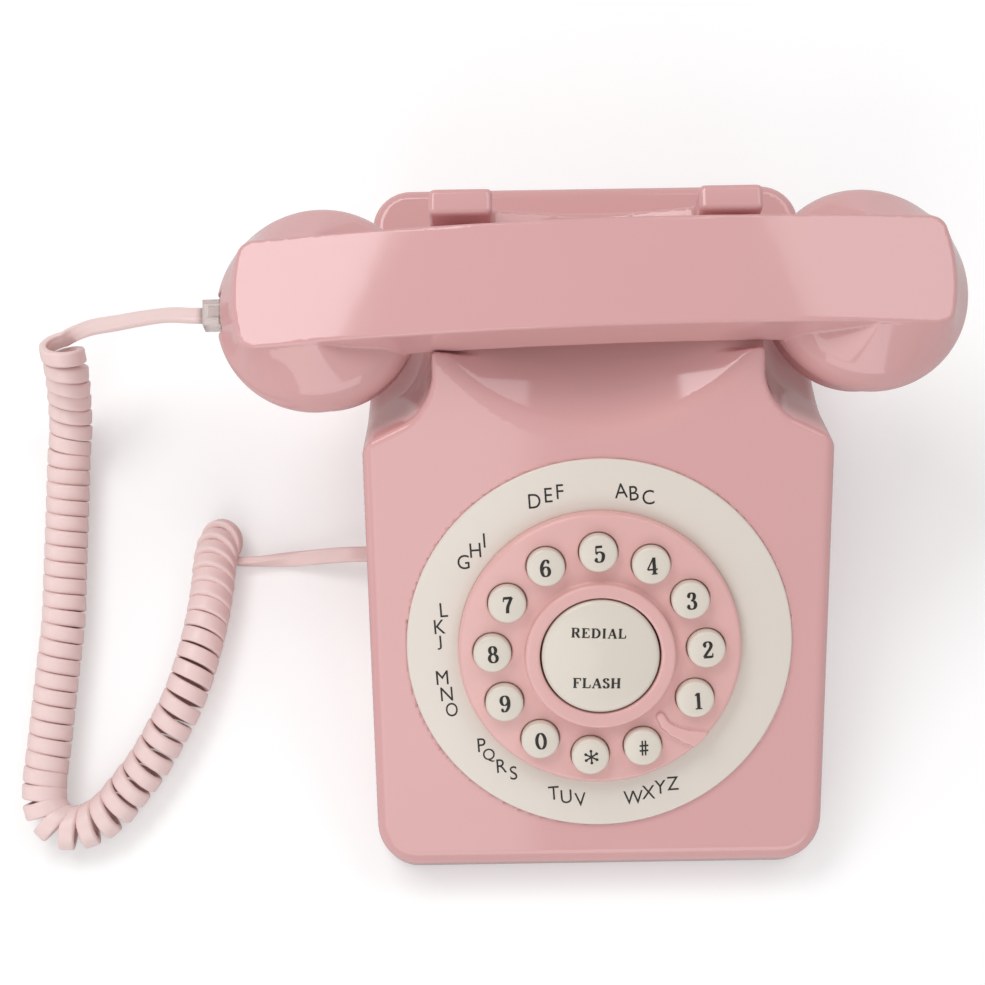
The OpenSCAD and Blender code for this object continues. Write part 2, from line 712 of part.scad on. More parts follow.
module centre_rocker() color(ivory) {
    top = plate_proud + rocker_proud;
    on_face(dial_t) {
        difference() {
            union() {
                intersection() {
                    translate([0, 0, key_under + 0.5]) cylinder(d = rocker_d, h = 20, $fn = 96);
                    translate([0, 0, top - rocker_dome_r]) sphere(rocker_dome_r, $fn = 180);
                    translate([0, 0, key_under]) cylinder(r1 = rocker_d / 2 + top - key_under - 1.9, r2 = rocker_d / 2 - 1.9, h = top - key_under, $fn = 96);
                }
                translate([-rocker_bore / 2 - 1.3, 0, rocker_axis_h]) rotate([0, 90, 0])
                    cylinder(d = pin_d, h = rocker_bore + 2.6, $fn = 24);
            }
            translate([0, 0, key_under - 1]) cylinder(d = rocker_d - 4, h = top - key_under - 2.2, $fn = 96);
        }
        translate([-rocker_d / 2 + 1, -1, rocker_axis_h - 1]) cube([rocker_d - 2, 2, top - rocker_axis_h - 1.4]);
        // Two prods, one under each legend
        for (y = [-11, 11]) translate([0, y, rocker_prod_h])
            cylinder(d = 5, h = top - rocker_prod_h - 2.4, $fn = 32);
    }
}
rocker_prod_h = sheet_h + sheet_t + 1.2;

module keypad_membrane() color([0.85, 0.85, 0.82]) {
    on_face(dial_t) {
        translate([0, 0, sheet_h + eps]) cylinder(d = plate_in_d - 2 * fit, h = sheet_t, $fn = 96);
        for (i = [0 : 11]) at_key(i) translate([0, 0, sheet_h + sheet_t])
            cylinder(d1 = 8, d2 = 5, h = max(0.2, dome_top - sheet_h - sheet_t), $fn = 32);
        for (y = [-11, 11]) translate([0, y, sheet_h + sheet_t]) cylinder(d1 = 7, d2 = 5, h = 0.4, $fn = 32);
    }
}
module keypad_board() color(board) {
    on_face(dial_t, board_h) cylinder(d = plate_in_d - 2 * fit, h = board_t, $fn = 96);
}
module keypad_retainer() color(dark) {
    on_face(dial_t) difference() {
        union() {
            translate([0, 0, -seat_pad_h - 0.1 - 2.2]) cylinder(d = retainer_d, h = 2.2, $fn = 96);
            translate([0, 0, -seat_pad_h - 0.2]) cylinder(d = plate_in_d - 2, h = seat_pad_h + board_h + 0.2 - 0.05, $fn = 96);
        }
        translate([0, 0, -20]) cylinder(d = 40, h = 30, $fn = 64);
        for (a = [45 : 90 : 315]) rotate(a) translate([retainer_d / 2 - 4, 0, -20])
            cylinder(d = screw_d + 0.4, h = 30, $fn = 24);
    }
}
module retainer_screws() color(steel) {
    at_retainer_screws() translate([0, 0, -seat_pad_h - 2.4 - 1.8]) mirror([0, 0, 1]) tapping_screw(6, screw_d);
}

// ---- the handset ----
// Its own frame: x along it, y across it, z = 0 at the top of its arch
module at_handset() {
    translate([-handset_off, grip_y, handset_top]) rotate(handset_yaw) children();
}
// A place along the arch, tilted to stand square on it
module on_arch(s) {
    translate([0, 0, -arch_r]) rotate([0, s / arch_r * 180 / PI, 0]) translate([0, 0, arch_r]) children();
}
facet_end = 102.3;                // where the flat back ends, along the arch
leg_x = 62;                      // inner wall of each leg
leg_fillet = 12;
handset_wall = 2.4;

// Side view of the grip and its legs, from depth a to depth b below the back
module arch_strip(a, b, half) {
    intersection() {
        difference() {
            translate([0, -arch_r]) circle(arch_r - a, $fn = 720);
            translate([0, -arch_r]) circle(arch_r - b, $fn = 720);
        }
        translate([-half, -60]) square([2 * half, 70]);
    }
}
module handset_side() {
    arch_strip(0, bar_h, 98);
    under = bar_h + leg_x * leg_x / (2 * arch_r);
    for (x = [0, 1]) mirror([x, 0]) {
        translate([leg_x, -seam_drop - 14]) square([36, seam_drop]);
        difference() {
            translate([leg_x - leg_fillet, -under - leg_fillet + 1]) square([leg_fillet + 1, leg_fillet]);
            translate([leg_x - leg_fillet, -under - leg_fillet + 0.6]) circle(leg_fillet, $fn = 64);
        }
    }
}
module dome(side) {
    hull() {
        on_arch(side * (facet_end - 12)) intersection() {
            translate([-12, -bar_w / 2, -1]) cube([24, bar_w, 1]);
            translate([-side * 42, 0, -2]) cylinder(r = 54, h = 3, $fn = 96);
        }
        on_arch(side * dome_s) translate([0, 0, -dome_drop]) soft_disc(dome_r, 12);
    }
}
module handset_shell() color(pink) {
    at_handset() difference() {
        union() {
            rotate([90, 0, 0]) translate([0, 0, -bar_w / 2]) linear_extrude(bar_w) handset_side();
            dome(-1);
            dome(1);
        }
        for (side = [-1, 1]) {
            // Below the seams
            on_arch(side * dome_s) translate([0, 0, -seam_drop - 40]) cylinder(r = 40, h = 40);
            // Room for the capsules
            on_arch(side * dome_s) translate([0, 0, -seam_drop - 1]) cylinder(r = cap_neck_r + fit, h = 13);
        }
        // Channel inside the grip, open underneath
        difference() {
            rotate([90, 0, 0]) translate([0, 0, -cover_w / 2]) linear_extrude(cover_w)
                arch_strip(handset_wall, bar_h + 2, cover_half);
            at_cover_screws() translate([0, 0, -bar_h + cover_t + run]) cylinder(d = 7, h = bar_h, $fn = 32);
        }
        at_cover_screws() translate([0, 0, -bar_h - 1]) cylinder(d = cover_screw_d - 0.4, h = cover_screw_len + 1.4, $fn = 24);
        // Socket for the cord in the left end
        translate([-dome_tip - 5, -plug[1] / 2 - 2, -sock_drop - plug[2] / 2 - 1.5])
            cube([18, plug[1] + 4, plug[2] + 3.2]);
    }
}
cover_w = bar_w - 8;
cover_half = 50;
cover_t = 2.2;
cover_screw_d = 2.4;
cover_screw_len = 8;
cap_neck_r = 22;
dome_tip = dome_s + dome_r - 3.4;
sock_drop = 26;
module at_cover_screws() {
    for (s = [-42, 42]) on_arch(s) children();
}
module handle_cover() color(pink) {
    at_handset() difference() {
        rotate([90, 0, 0]) translate([0, 0, -cover_w / 2 + fit]) linear_extrude(cover_w - 2 * fit)
            arch_strip(bar_h - cover_t, bar_h, cover_half - fit);
        at_cover_screws() translate([0, 0, -bar_h - 1]) cylinder(d = cover_screw_d + 0.4, h = 9, $fn = 24);
        at_cover_screws() translate([0, 0, -bar_h - 1])
            cylinder(d = cover_screw_d * 2.1, h = 1 + cover_t - 0.6, $fn = 32);
    }
}
module cover_screws() color(steel) {
    at_handset() at_cover_screws() translate([0, 0, -bar_h + cover_t - 0.6 - cover_screw_d * 0.6 - 0.05])
        mirror([0, 0, 1]) tapping_screw(cover_screw_len, cover_screw_d);
}
module handset_weight() color(steel) {
    at_handset() translate([0, 0, -bar_h + cover_t + 0.2]) translate([0, 0, 2.5]) cube([56, 14, 5], center = true);
}
module cap(holes) {
    face_z = -seam_drop - cap_h;
    difference() {
        rotate_extrude($fn = 96) polygon([
            [0, face_z + 0.8], [19, face_z + 0.8], [21, face_z], [23, face_z], [24.6, face_z + 0.7],
            [25.4, face_z + 2.4], [26, -seam_drop - 0.15], [cap_neck_r, -seam_drop - 0.15],
            [cap_neck_r, -seam_drop + 4], [cap_neck_r - 1.6, -seam_drop + 4],
            [cap_neck_r - 1.6, face_z + 3.2], [0, face_z + 3.2]
        ]);
        for (n = [0 : len(holes) - 1]) for (k = [0 : max(1, holes[n]) - 1])
            rotate(360 * k / max(1, holes[n])) translate([n * 4.2, 0, face_z - 1])
                cylinder(d = 1.8, h = 6, $fn = 16);
    }
}
module earpiece_cap() color(pink) at_handset() on_arch(dome_s) cap([1, 6, 12]);
module mouthpiece_cap() color(pink) at_handset() on_arch(-dome_s) cap([1, 6, 12, 18]);
module capsule(h) {
    z0 = -seam_drop - cap_h + 3.3;
    translate([0, 0, z0]) cylinder(r = cap_neck_r - 1.8, h = h);
    translate([0, 0, z0 + h - eps]) cylinder(r = 9, h = 3);
}
module receiver_capsule() color(dark) at_handset() on_arch(dome_s) capsule(10);
module microphone_capsule() color(steel) at_handset() on_arch(-dome_s) capsule(7);
module handset_socket() color(dark) {
    at_handset() translate([-dome_tip + 2.1, 0, -sock_drop]) modular_socket(10.4, plug[1] + 3.6, plug[2] + 2.6);
}

// ---- the cord ----
module handset_plug() color(clear) {
    at_handset() translate([-dome_tip + 0.6 - plug_out, 0, -sock_drop]) modular_plug();
}
module base_plug() color(clear) {
    translate([-side_x + base_plug_in, jack_y, jack_z]) modular_plug();
}
lead_route = [
    [-113.1, 48.9, 78], [-117, 49.1, 77.8], [-124, 51, 73], [-133, 52.8, 65],
    [-142, 54, 58], [-151, 55, 51.5], [-158, 55.5, 46.5], [-162, 55, 42],
    [-163, 53.6, 38]
];
base_route = [
    [-110.6, -8.4, 6], [-106, -8.4, 4], [-100, -8.4, 3], [-92, -8.2, 3.4],
    [-84, -8, 6], [-77, -7.8, 9.3], [-71, -7.8, 9.5], [-66.3, -7.8, 9.5]
];
module handset_lead() color(pink) sweep(lead_route, flat_w, flat_h, 8);
module curly_cord() color(pink) sweep(coil_route, coil_d, coil_d, 12);
module base_lead() color(pink) sweep(base_route, flat_w, flat_h, 8);

upper_housing();
base_plate();
rubber_feet();
base_screws();
dial_ring();
dial_plate();
centre_rocker();
key(0);  // key_1
key(1);  // key_2
key(2);  // key_3
key(3);  // key_4
key(4);  // key_5
key(5);  // key_6
key(6);  // key_7
key(7);  // key_8
key(8);  // key_9
key(9);  // key_0
key(10);  // key_star
key(11);  // key_hash
keypad_membrane();
keypad_board();
keypad_retainer();
retainer_screws();
hook_plunger_left();
hook_plunger_right();
hook_lever();
hook_pin();
hook_spring();
hook_switch();
hook_bracket();
bracket_screws();
main_board();
board_screws();
ballast_plate();
ringer_speaker();
handset_jack();
line_jack();
ringer_switch_body();
ringer_switch_knob();
handset_shell();
handle_cover();
cover_screws();
handset_weight();
earpiece_cap();
mouthpiece_cap();
receiver_capsule();
microphone_capsule();
handset_socket();
handset_plug();
handset_lead();
curly_cord();
base_lead();
base_plug();
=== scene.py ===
# %% [markdown]
# A desk telephone in glossy rose-pink ABS. Its solids come from the CAD model, which
# is loaded first and stays fixed: everything below is placed around it. The frame is
# in metres, and the moulded shapes are worked out in millimetres on the way there.

# %% Load the fixed frame
import json
import math

import bpy
import numpy as np
from mathutils import Matrix, Vector


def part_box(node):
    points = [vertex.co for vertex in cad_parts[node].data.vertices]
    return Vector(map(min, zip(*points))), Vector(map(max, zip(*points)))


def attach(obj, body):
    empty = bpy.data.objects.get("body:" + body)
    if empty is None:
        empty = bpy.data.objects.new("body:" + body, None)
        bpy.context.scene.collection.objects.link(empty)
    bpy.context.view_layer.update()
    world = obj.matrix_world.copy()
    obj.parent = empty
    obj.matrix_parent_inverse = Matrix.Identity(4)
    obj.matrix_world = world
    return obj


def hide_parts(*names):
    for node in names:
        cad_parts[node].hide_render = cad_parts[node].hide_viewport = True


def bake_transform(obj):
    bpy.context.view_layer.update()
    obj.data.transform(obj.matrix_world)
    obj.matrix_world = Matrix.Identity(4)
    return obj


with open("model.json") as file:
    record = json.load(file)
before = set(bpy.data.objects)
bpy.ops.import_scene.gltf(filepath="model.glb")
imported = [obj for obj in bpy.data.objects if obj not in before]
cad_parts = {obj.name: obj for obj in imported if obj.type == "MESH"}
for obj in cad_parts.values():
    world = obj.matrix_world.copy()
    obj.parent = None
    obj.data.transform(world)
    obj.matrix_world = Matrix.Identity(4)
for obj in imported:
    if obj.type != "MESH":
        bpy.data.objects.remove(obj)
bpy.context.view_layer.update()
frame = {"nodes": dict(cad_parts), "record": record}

# %% [markdown]
# The camera comes first, because it decides what can be seen. It looks down on the
# telephone from just in front of it, so the render is almost a plan view.
# A camera's own axes are right, up and backwards, which gives its matrix directly.

# %% Camera
AIM = Vector((-0.0305, -0.0005, 0.060))
DISTANCE = 0.5792
SENSOR_MM, LENS_MM = 36, 72.65
tilt, turn, roll = (math.radians(v) for v in (76.59, 0.51, -1.40))
flat = math.cos(tilt)
backwards = Vector((math.sin(turn) * flat, -math.cos(turn) * flat, math.sin(tilt)))
level = Vector((math.cos(turn), math.sin(turn), 0))
upright = backwards.cross(level)
cam_right = level * math.cos(roll) + upright * math.sin(roll)
cam_up = -level * math.sin(roll) + upright * math.cos(roll)
cam_data = bpy.data.cameras.new("camera")
cam_data.sensor_width = SENSOR_MM
cam_data.lens = LENS_MM
camera = bpy.data.objects.new("camera", cam_data)
stand = Matrix((cam_right, cam_up, backwards)).transposed().to_4x4()
stand.translation = AIM + backwards * DISTANCE
camera.matrix_world = stand
bpy.context.collection.objects.link(camera)
bpy.context.scene.camera = camera
bpy.context.scene.view_settings.view_transform = "Standard"
print("camera at", [round(v, 3) for v in camera.location])

# %% [markdown]
# A material is a small tree of nodes. One function adds a node with its settings and
# its links, and one turns the hex colours of a paint chart into the linear values
# that the shader works in.

# %% Helpers for materials
def linear(hex_colour):
    """sRGB hex to linear red, green, blue and an alpha of 1."""
    channels = [int(hex_colour[i:i + 2], 16) / 255 for i in (1, 3, 5)]
    return [c / 12.92 if c <= 0.04045 else ((c + 0.055) / 1.055) ** 2.4 for c in channels] + [1]


def add(tree, kind, inputs=None, **settings):
    """A node; each input is a value for its socket, or a socket to link it to."""
    node = tree.nodes.new(kind)
    for key, value in settings.items():
        setattr(node, key, value)
    for key, value in (inputs or {}).items():
        if isinstance(value, bpy.types.NodeSocket):
            tree.links.new(value, node.inputs[key])
        else:
            node.inputs[key].default_value = value
    return node


def new_material(name):
    mat = bpy.data.materials.new(name)
    mat.use_nodes = True
    mat.node_tree.nodes.clear()
    return mat, mat.node_tree


def per_mm(size_mm):
    """Noise scale, in cells per metre, for a pattern of this size in millimetres."""
    return 1000 / size_mm


# %% [markdown]
# Injection-moulded plastic is never one flat value. Its colour drifts a little over
# some centimetres, because pigment streams into the mould unevenly, and its skin has
# a faint waviness that makes reflections tremble. Both are drawn with noise here, and
# so are the patches where handling has changed the polish.

# %% Moulded plastics
STREAK_MM, PATCH_MM = 45, 6
GRAIN_MM = 0.5  # a tool's real grain is about 0.05 mm, too fine to be seen here
PLASTIC_IOR = 1.50


def moulded_plastic(name, hex_colour, rough, drift=0.02, wave_mm=14, wave=0.010, grain=0.0015):
    """drift is the change in colour; wave and grain are the strengths of the two bumps."""
    mat, tree = new_material(name)
    where = add(tree, "ShaderNodeTexCoord").outputs["Object"]
    cloud, patches, ripple, fine = (
        add(tree, "ShaderNodeTexNoise", {"Vector": where, "Scale": per_mm(mm), "Detail": detail})
        for mm, detail in ((STREAK_MM, 2.0), (PATCH_MM, 4.0), (wave_mm, 1.0), (GRAIN_MM, 2.0)))
    base = linear(hex_colour)
    dark = [c * (1 - drift) for c in base[:3]] + [1]
    light = [min(1, c * (1 + drift)) for c in base[:3]] + [1]
    tint = add(tree, "ShaderNodeMix", {"Factor": cloud.outputs["Fac"], 6: dark, 7: light},
               data_type="RGBA")
    # Handled patches are up to 15 per cent rougher, the others up to 12 per cent smoother.
    gloss = add(tree, "ShaderNodeMapRange", {
        "Value": patches.outputs["Fac"], "From Min": 0.3, "From Max": 0.7,
        "To Min": rough * 0.88, "To Max": rough * 1.15})
    bump1 = add(tree, "ShaderNodeBump", {
        "Height": ripple.outputs["Fac"], "Strength": wave, "Distance": 0.001})
    bump2 = add(tree, "ShaderNodeBump", {
        "Height": fine.outputs["Fac"], "Strength": grain, "Distance": 0.0002,
        "Normal": bump1.outputs["Normal"]})
    shader = add(tree, "ShaderNodeBsdfPrincipled", {
        "Base Color": tint.outputs[2], "Roughness": gloss.outputs["Result"],
        "IOR": PLASTIC_IOR, "Normal": bump2.outputs["Normal"]})
    add(tree, "ShaderNodeOutputMaterial", {"Surface": shader.outputs["BSDF"]})
    return mat


# ABS from a polished tool: the lamps are mirrored in it almost sharply.
rose_abs = moulded_plastic("rose_abs_moulded_glossy", "#dca8a8", 0.08)
light_rose_abs = moulded_plastic("light_rose_abs_moulded_glossy", "#e4b3b0", 0.12)
# Trim and keys come from a finer blasted tool, so their shine is broader and softer.
ivory_abs = moulded_plastic("ivory_abs_moulded_glossy", "#e2d9cf", 0.20, drift=0.012)
key_abs = moulded_plastic("ivory_abs_key_caps", "#dfd6ca", 0.22, drift=0.010)
# Soft PVC drawn over the cord's cores: satin, and a little uneven.
rose_pvc = moulded_plastic("rose_pvc_cord_sheath", "#f0d4d1", 0.36, wave_mm=4, grain=0.01)
# Jacks and capsules are eroded matt, so they read as dark holes.
black_abs = moulded_plastic("black_abs_matt", "#1d1c1e", 0.55, drift=0.1, grain=0.03)
# Inside: lacquered circuit boards, and rubber with hardly any shine.
green_board = moulded_plastic("green_solder_mask", "#1d5c37", 0.35, drift=0.1)
grey_rubber = moulded_plastic("dark_rubber_moulded", "#2c2a2a", 0.8, drift=0.1, grain=0.05)
# Printing ink dries to a satin film.
pad_ink = moulded_plastic("black_pad_printing_ink", "#17130f", 0.5, drift=0.05)

# %% [markdown]
# Two finishes are not pigmented plastic. The plugs and the hook's two plungers are
# clear polycarbonate, which lets most light through and bends it. Screws, springs and
# weights are zinc-plated steel: a metal takes its whole look from reflection, and the
# plating's fine grain spreads that. Then every CAD node gets the finish of its slot.

# %% Clear plastic, plated steel, and the finish of every CAD node
clear_polycarbonate, tree = new_material("clear_polycarbonate_moulded")
shader = add(tree, "ShaderNodeBsdfPrincipled", {
    "Base Color": linear("#e6dad6"), "Roughness": 0.12, "IOR": 1.58,
    "Transmission Weight": 0.75})
add(tree, "ShaderNodeOutputMaterial", {"Surface": shader.outputs["BSDF"]})

PLATING_MM = 0.8  # drawn coarser than the real plating, so that it shows
zinc_plated_steel, tree = new_material("zinc_plated_steel")
where = add(tree, "ShaderNodeTexCoord").outputs["Object"]
grain = add(tree, "ShaderNodeTexNoise",
            {"Vector": where, "Scale": per_mm(PLATING_MM), "Detail": 3.0})
rough = add(tree, "ShaderNodeMapRange",
            {"Value": grain.outputs["Fac"], "To Min": 0.25, "To Max": 0.45})
shader = add(tree, "ShaderNodeBsdfPrincipled", {
    "Base Color": linear("#b9bbbd"), "Metallic": 1.0, "Roughness": rough.outputs["Result"]})
add(tree, "ShaderNodeOutputMaterial", {"Surface": shader.outputs["BSDF"]})

FINISHES = {
    "pink_shell": rose_abs, "ivory_trim": ivory_abs, "rubber": grey_rubber,
    "steel": zinc_plated_steel, "black_plastic": black_abs, "circuit_board": green_board,
    "clear_plastic": clear_polycarbonate, "cord_sheath": rose_pvc,
}
for part in frame["record"]["subparts"]:
    is_key = part["node"].startswith("key_") or part["node"] == "centre_rocker"
    finish = key_abs if is_key else FINISHES[part["material_slot"]]
    for slot in frame["nodes"][part["node"]].material_slots:
        slot.material = finish
print("finishes on", len(frame["nodes"]), "nodes")

# %% [markdown]
# The floor is a plain pale sheet. The camera sees it close to white, more so further
# out, where it melts into the backdrop. Light that bounces off it stays at the level
# of white paper, so the telephone's colours are not washed out.

# %% Floor and world
FLOOR_SIZE, FADE_FROM, FADE_TO = 6, 0.5, 2.4
h = FLOOR_SIZE / 2
mesh = bpy.data.meshes.new("floor")
mesh.from_pydata([(-h, -h, 0), (h, -h, 0), (h, h, 0), (-h, h, 0)], [], [(0, 1, 2, 3)])
floor = bpy.data.objects.new("floor", mesh)
bpy.context.collection.objects.link(floor)
paper, tree = new_material("white_paper_floor")
rays = add(tree, "ShaderNodeLightPath").outputs
diffuse = add(tree, "ShaderNodeBsdfDiffuse", {"Color": linear("#d9d9d9")})
bright = add(tree, "ShaderNodeBsdfDiffuse", {"Color": linear("#e6e6e6")})
where = add(tree, "ShaderNodeTexCoord").outputs["Object"]
reach = add(tree, "ShaderNodeVectorMath", {0: where}, operation="LENGTH")
fade = add(tree, "ShaderNodeMapRange", {
    "Value": reach.outputs["Value"], "From Min": FADE_FROM, "From Max": FADE_TO,
    "To Min": 0.27, "To Max": 1.0})
glow = add(tree, "ShaderNodeEmission",
           {"Color": linear("#ffffff"), "Strength": fade.outputs["Result"]})
lit = add(tree, "ShaderNodeAddShader", {0: bright.outputs[0], 1: glow.outputs[0]})
seen = add(tree, "ShaderNodeMath",
           {0: rays["Is Camera Ray"], 1: rays["Is Transmission Ray"]}, operation="MAXIMUM")
both = add(tree, "ShaderNodeMixShader",
           {0: seen.outputs[0], 1: diffuse.outputs[0], 2: lit.outputs[0]})
add(tree, "ShaderNodeOutputMaterial", {"Surface": both.outputs[0]})
floor.data.materials.append(paper)

world = bpy.data.worlds.new("studio")
world.use_nodes = True
tree = world.node_tree
tree.nodes.clear()
rays = add(tree, "ShaderNodeLightPath").outputs
ambient = add(tree, "ShaderNodeBackground", {"Color": linear("#ffffff"), "Strength": 0.42})
backdrop = add(tree, "ShaderNodeBackground", {"Color": linear("#fcfbfc"), "Strength": 1.0})
both = add(tree, "ShaderNodeMixShader",
           {0: rays["Is Camera Ray"], 1: ambient.outputs[0], 2: backdrop.outputs[0]})
add(tree, "ShaderNodeOutputWorld", {"Surface": both.outputs[0]})
bpy.context.scene.world = world
print("floor", FLOOR_SIZE, "m wide, fading to white from", FADE_FROM, "to", FADE_TO, "m out")

# %% [markdown]
# Glossy plastic shows its studio. Two panels hang behind the telephone, and their
# straight edges cross the handset's back as the borders of two pale fields. A third
# panel, in front and to the left, lightens the left half of the sloping face. Two
# more stand low, in front and at the left, and open the shade under the handset.

# %% Lamps
CEILING = 1.7
TELEPHONE = (0, 0, 0.05)
# name: where it hangs, what it faces, its long side's direction, size, radiance
PANELS = {
    "left_panel": ((-0.839, 0.978, CEILING), (-0.839, 0.978, 0), (-0.776, -0.631, 0),
                   (1.4, 0.9), 5.0),
    "right_panel": ((0.946, 0.980, CEILING), (0.946, 0.980, 0), (0.707, -0.707, 0),
                    (1.4, 0.9), 2.3),
    "front_panel": ((-0.70, -1.85, CEILING), TELEPHONE, (1, 0, 0), (1.5, 1.3), 1.7),
    "low_front_panel": ((0, -2.2, 0.60), TELEPHONE, (1, 0, 0), (2.2, 0.9), 1.8),
    "low_left_panel": ((-2.1, -0.3, 0.85), TELEPHONE, (0, 1, 0), (1.5, 1.3), 0.9),
}
for name, (location, aim, along, size, radiance) in PANELS.items():
    lamp = bpy.data.lights.new(name, "AREA")
    lamp.shape = "RECTANGLE"
    lamp.size, lamp.size_y = size
    lamp.energy = radiance * math.pi * size[0] * size[1]
    panel = bpy.data.objects.new(name, lamp)
    back = (Vector(location) - Vector(aim)).normalized()
    right = Vector(along)
    right = (right - back * right.dot(back)).normalized()
    facing = Matrix((right, back.cross(right), back)).transposed().to_4x4()
    panel.matrix_world = Matrix.Translation(location) @ facing
    bpy.context.collection.objects.link(panel)
print("lamps:", len(PANELS))

# %% [markdown]
# The curly cord is a flat four-core cable, wound on a rod and set with heat. It is
# drawn as it is made: a flat section carried along one centreline, straight at both
# ends and winding round a smooth axis in between. The route below is in millimetres,
# and a curve through its points is cut into even steps.

# %% The cord's route
CORD_WIDTH, CORD_THICKNESS = 0.0048, 0.0024
COIL_RADIUS = 0.0056
LEAD = [(-113.1, 48.9, 78), (-117, 49.1, 77.8), (-124, 51, 73), (-133, 52.8, 65),
        (-142, 54, 57.5), (-150.5, 55.6, 49.5), (-156.6, 57.0, 41), (-160.6, 57.8, 35)]
# across, along, up, look of the turns in degrees, pitch in mm
COIL = [(-163.4, 54, 36.6, -38, 5.9), (-163, 48, 29, -37, 5.9), (-164, 42, 19, -33, 5.8),
        (-165, 34, 11, -27, 5.4), (-166, 25, 7.6, -22, 5.1), (-166, 12, 7.15, -19, 5.05),
        (-166, -1, 7.15, -17, 5.05), (-166, -14, 7.15, -16, 5.05),
        (-166, -27, 7.15, -15, 5.05), (-167, -40, 7.15, -14, 5.05),
        (-168, -53, 7.15, -13, 5.05), (-169, -66, 7.15, -12, 5.05),
        (-170, -78, 7.15, -6, 5.05), (-169, -86, 7.15, 0, 5.1), (-164, -91, 7.15, 6, 5.4),
        (-157, -91, 7.15, 12, 5.6), (-150, -87, 7.15, 16, 5.7), (-144, -80, 7.15, 18, 5.7),
        (-138, -72, 7.15, 18, 5.7), (-133, -63, 7.15, 16, 5.6), (-128, -53, 7.15, 10, 5.5),
        (-124, -41, 7.15, -2, 5.2), (-121, -28, 6.95, -14, 4.7),
        (-119.4, -17.5, 7.1, -25, 4.2), (-118.9, -11, 7.0, -35, 3.9),
        (-118.3, -6, 6.35, -48, 3.7), (-117.3, -2.6, 5.2, -63, 3.4),
        (-116.2, -0.4, 4.1, -75, 3.0)]
TAIL = [(-112.7, -7.9, 2.6), (-106.6, -8.2, 2.6), (-100, -8.0, 2.8), (-92, -7.7, 3.6),
        (-84, -7.6, 6.4), (-77, -7.8, 9.3), (-71, -7.8, 9.5), (-66.3, -7.8, 9.5)]


def smooth_line(points, spacing, first=0, last=0):
    """A Catmull-Rom curve at even spacing; first and last end spans only guide it."""
    p = np.array(points, float)
    p = np.vstack([2 * p[0] - p[1], p, 2 * p[-1] - p[-2]])
    out = []
    for i in range(1 + first, len(p) - 2 - last):
        t = np.linspace(0, 1, 24, endpoint=False)[:, None]
        a, b, c, d = p[i - 1:i + 3]
        out.append(0.5 * (2 * b + (c - a) * t + (2 * a - 5 * b + 4 * c - d) * t ** 2
                          + (3 * b - a - 3 * c + d) * t ** 3))
    out = np.vstack(out + [p[-2 - last][None]])
    steps = np.linalg.norm(np.diff(out[:, :3], axis=0), axis=1)
    far = np.concatenate([[0], np.cumsum(steps)])
    n = max(2, int(round(far[-1] / spacing)) + 1)
    at = np.linspace(0, far[-1], n)
    return np.column_stack([np.interp(at, far, out[:, k]) for k in range(out.shape[1])])


def unit(rows):
    return rows / np.linalg.norm(rows, axis=1)[:, None]


STEP = 0.2
rows = smooth_line(COIL, STEP)
axis, look, pitch = rows[:, :3], np.radians(rows[:, 3]), rows[:, 4]
print("coil's axis:", len(axis), "steps of", STEP, "mm")

# %% [markdown]
# Lying loose, the turns lean like books on a shelf, so each point of the axis also
# says how far the turns there look up or down, and how far one turn moves on. The
# angle of the winding is counted from those steps. The last turn has tipped over and
# lies flat, so the cable leaves it standing on its edge.

# %% The cord's centreline
def frames(ahead, first_up):
    """Side and up square to each heading; up is carried along without twisting."""
    up = np.array(first_up, float)
    ups = []
    for t in ahead:
        up = up - t * (up @ t)
        up /= np.linalg.norm(up)
        ups.append(up.copy())
    ups = np.array(ups)
    return np.cross(ahead, ups), ups


heading = unit(np.gradient(axis, axis=0)[:, :2])
facing = np.column_stack([heading * np.cos(look)[:, None], np.sin(look)])
side, up = frames(facing, (1, 0, 0))
turns = np.concatenate([[0], np.cumsum(STEP / pitch[:-1])])
# The first turn starts at its underside, where the lead comes in, and the last ends at
# its front, where the cable leaves for the jack.
start_angle = math.pi
end_angle = math.atan2(-up[-1, 1], -side[-1, 1])
part_turn = (end_angle - start_angle) / (2 * math.pi)
whole = round(turns[-1] - part_turn)
turns *= (whole + part_turn) / turns[-1]
PER_TURN = 24
at = np.linspace(0, turns[-1], int(turns[-1] * PER_TURN) + 1)
pick = np.interp(at, turns, np.arange(len(axis)))


def sampled(rows):
    return np.column_stack([np.interp(pick, np.arange(len(rows)), rows[:, k]) for k in range(3)])


angle = start_angle + 2 * np.pi * at[:, None]
radial = sampled(side) * np.cos(angle) + sampled(up) * np.sin(angle)
wound = sampled(axis) / 1000 + radial * COIL_RADIUS
# Both straight ends run on into the coil's first and last steps, which only guide them.
LEAD_STEP, GUIDE = 2, 4
first, second = (tuple(wound[i] * 1000) for i in (0, GUIDE))
before_last, last = (tuple(wound[i] * 1000) for i in (-1 - GUIDE, -1))
lead_line = smooth_line(LEAD + [first, second], LEAD_STEP, last=1)[:-1] / 1000
tail_line = smooth_line([before_last, last] + TAIL, LEAD_STEP, first=1)[1:] / 1000
centreline = np.vstack([lead_line, wound, tail_line])
# The lead's flat side faces forward and down at the plug, and outward at the coil.
LEAD_FACES = np.array([0, -0.35, -1.0])
lead_share = np.linspace(0, 1, len(lead_line))[:, None] ** 2
lead_up = LEAD_FACES * (1 - lead_share) + radial[0] * lead_share
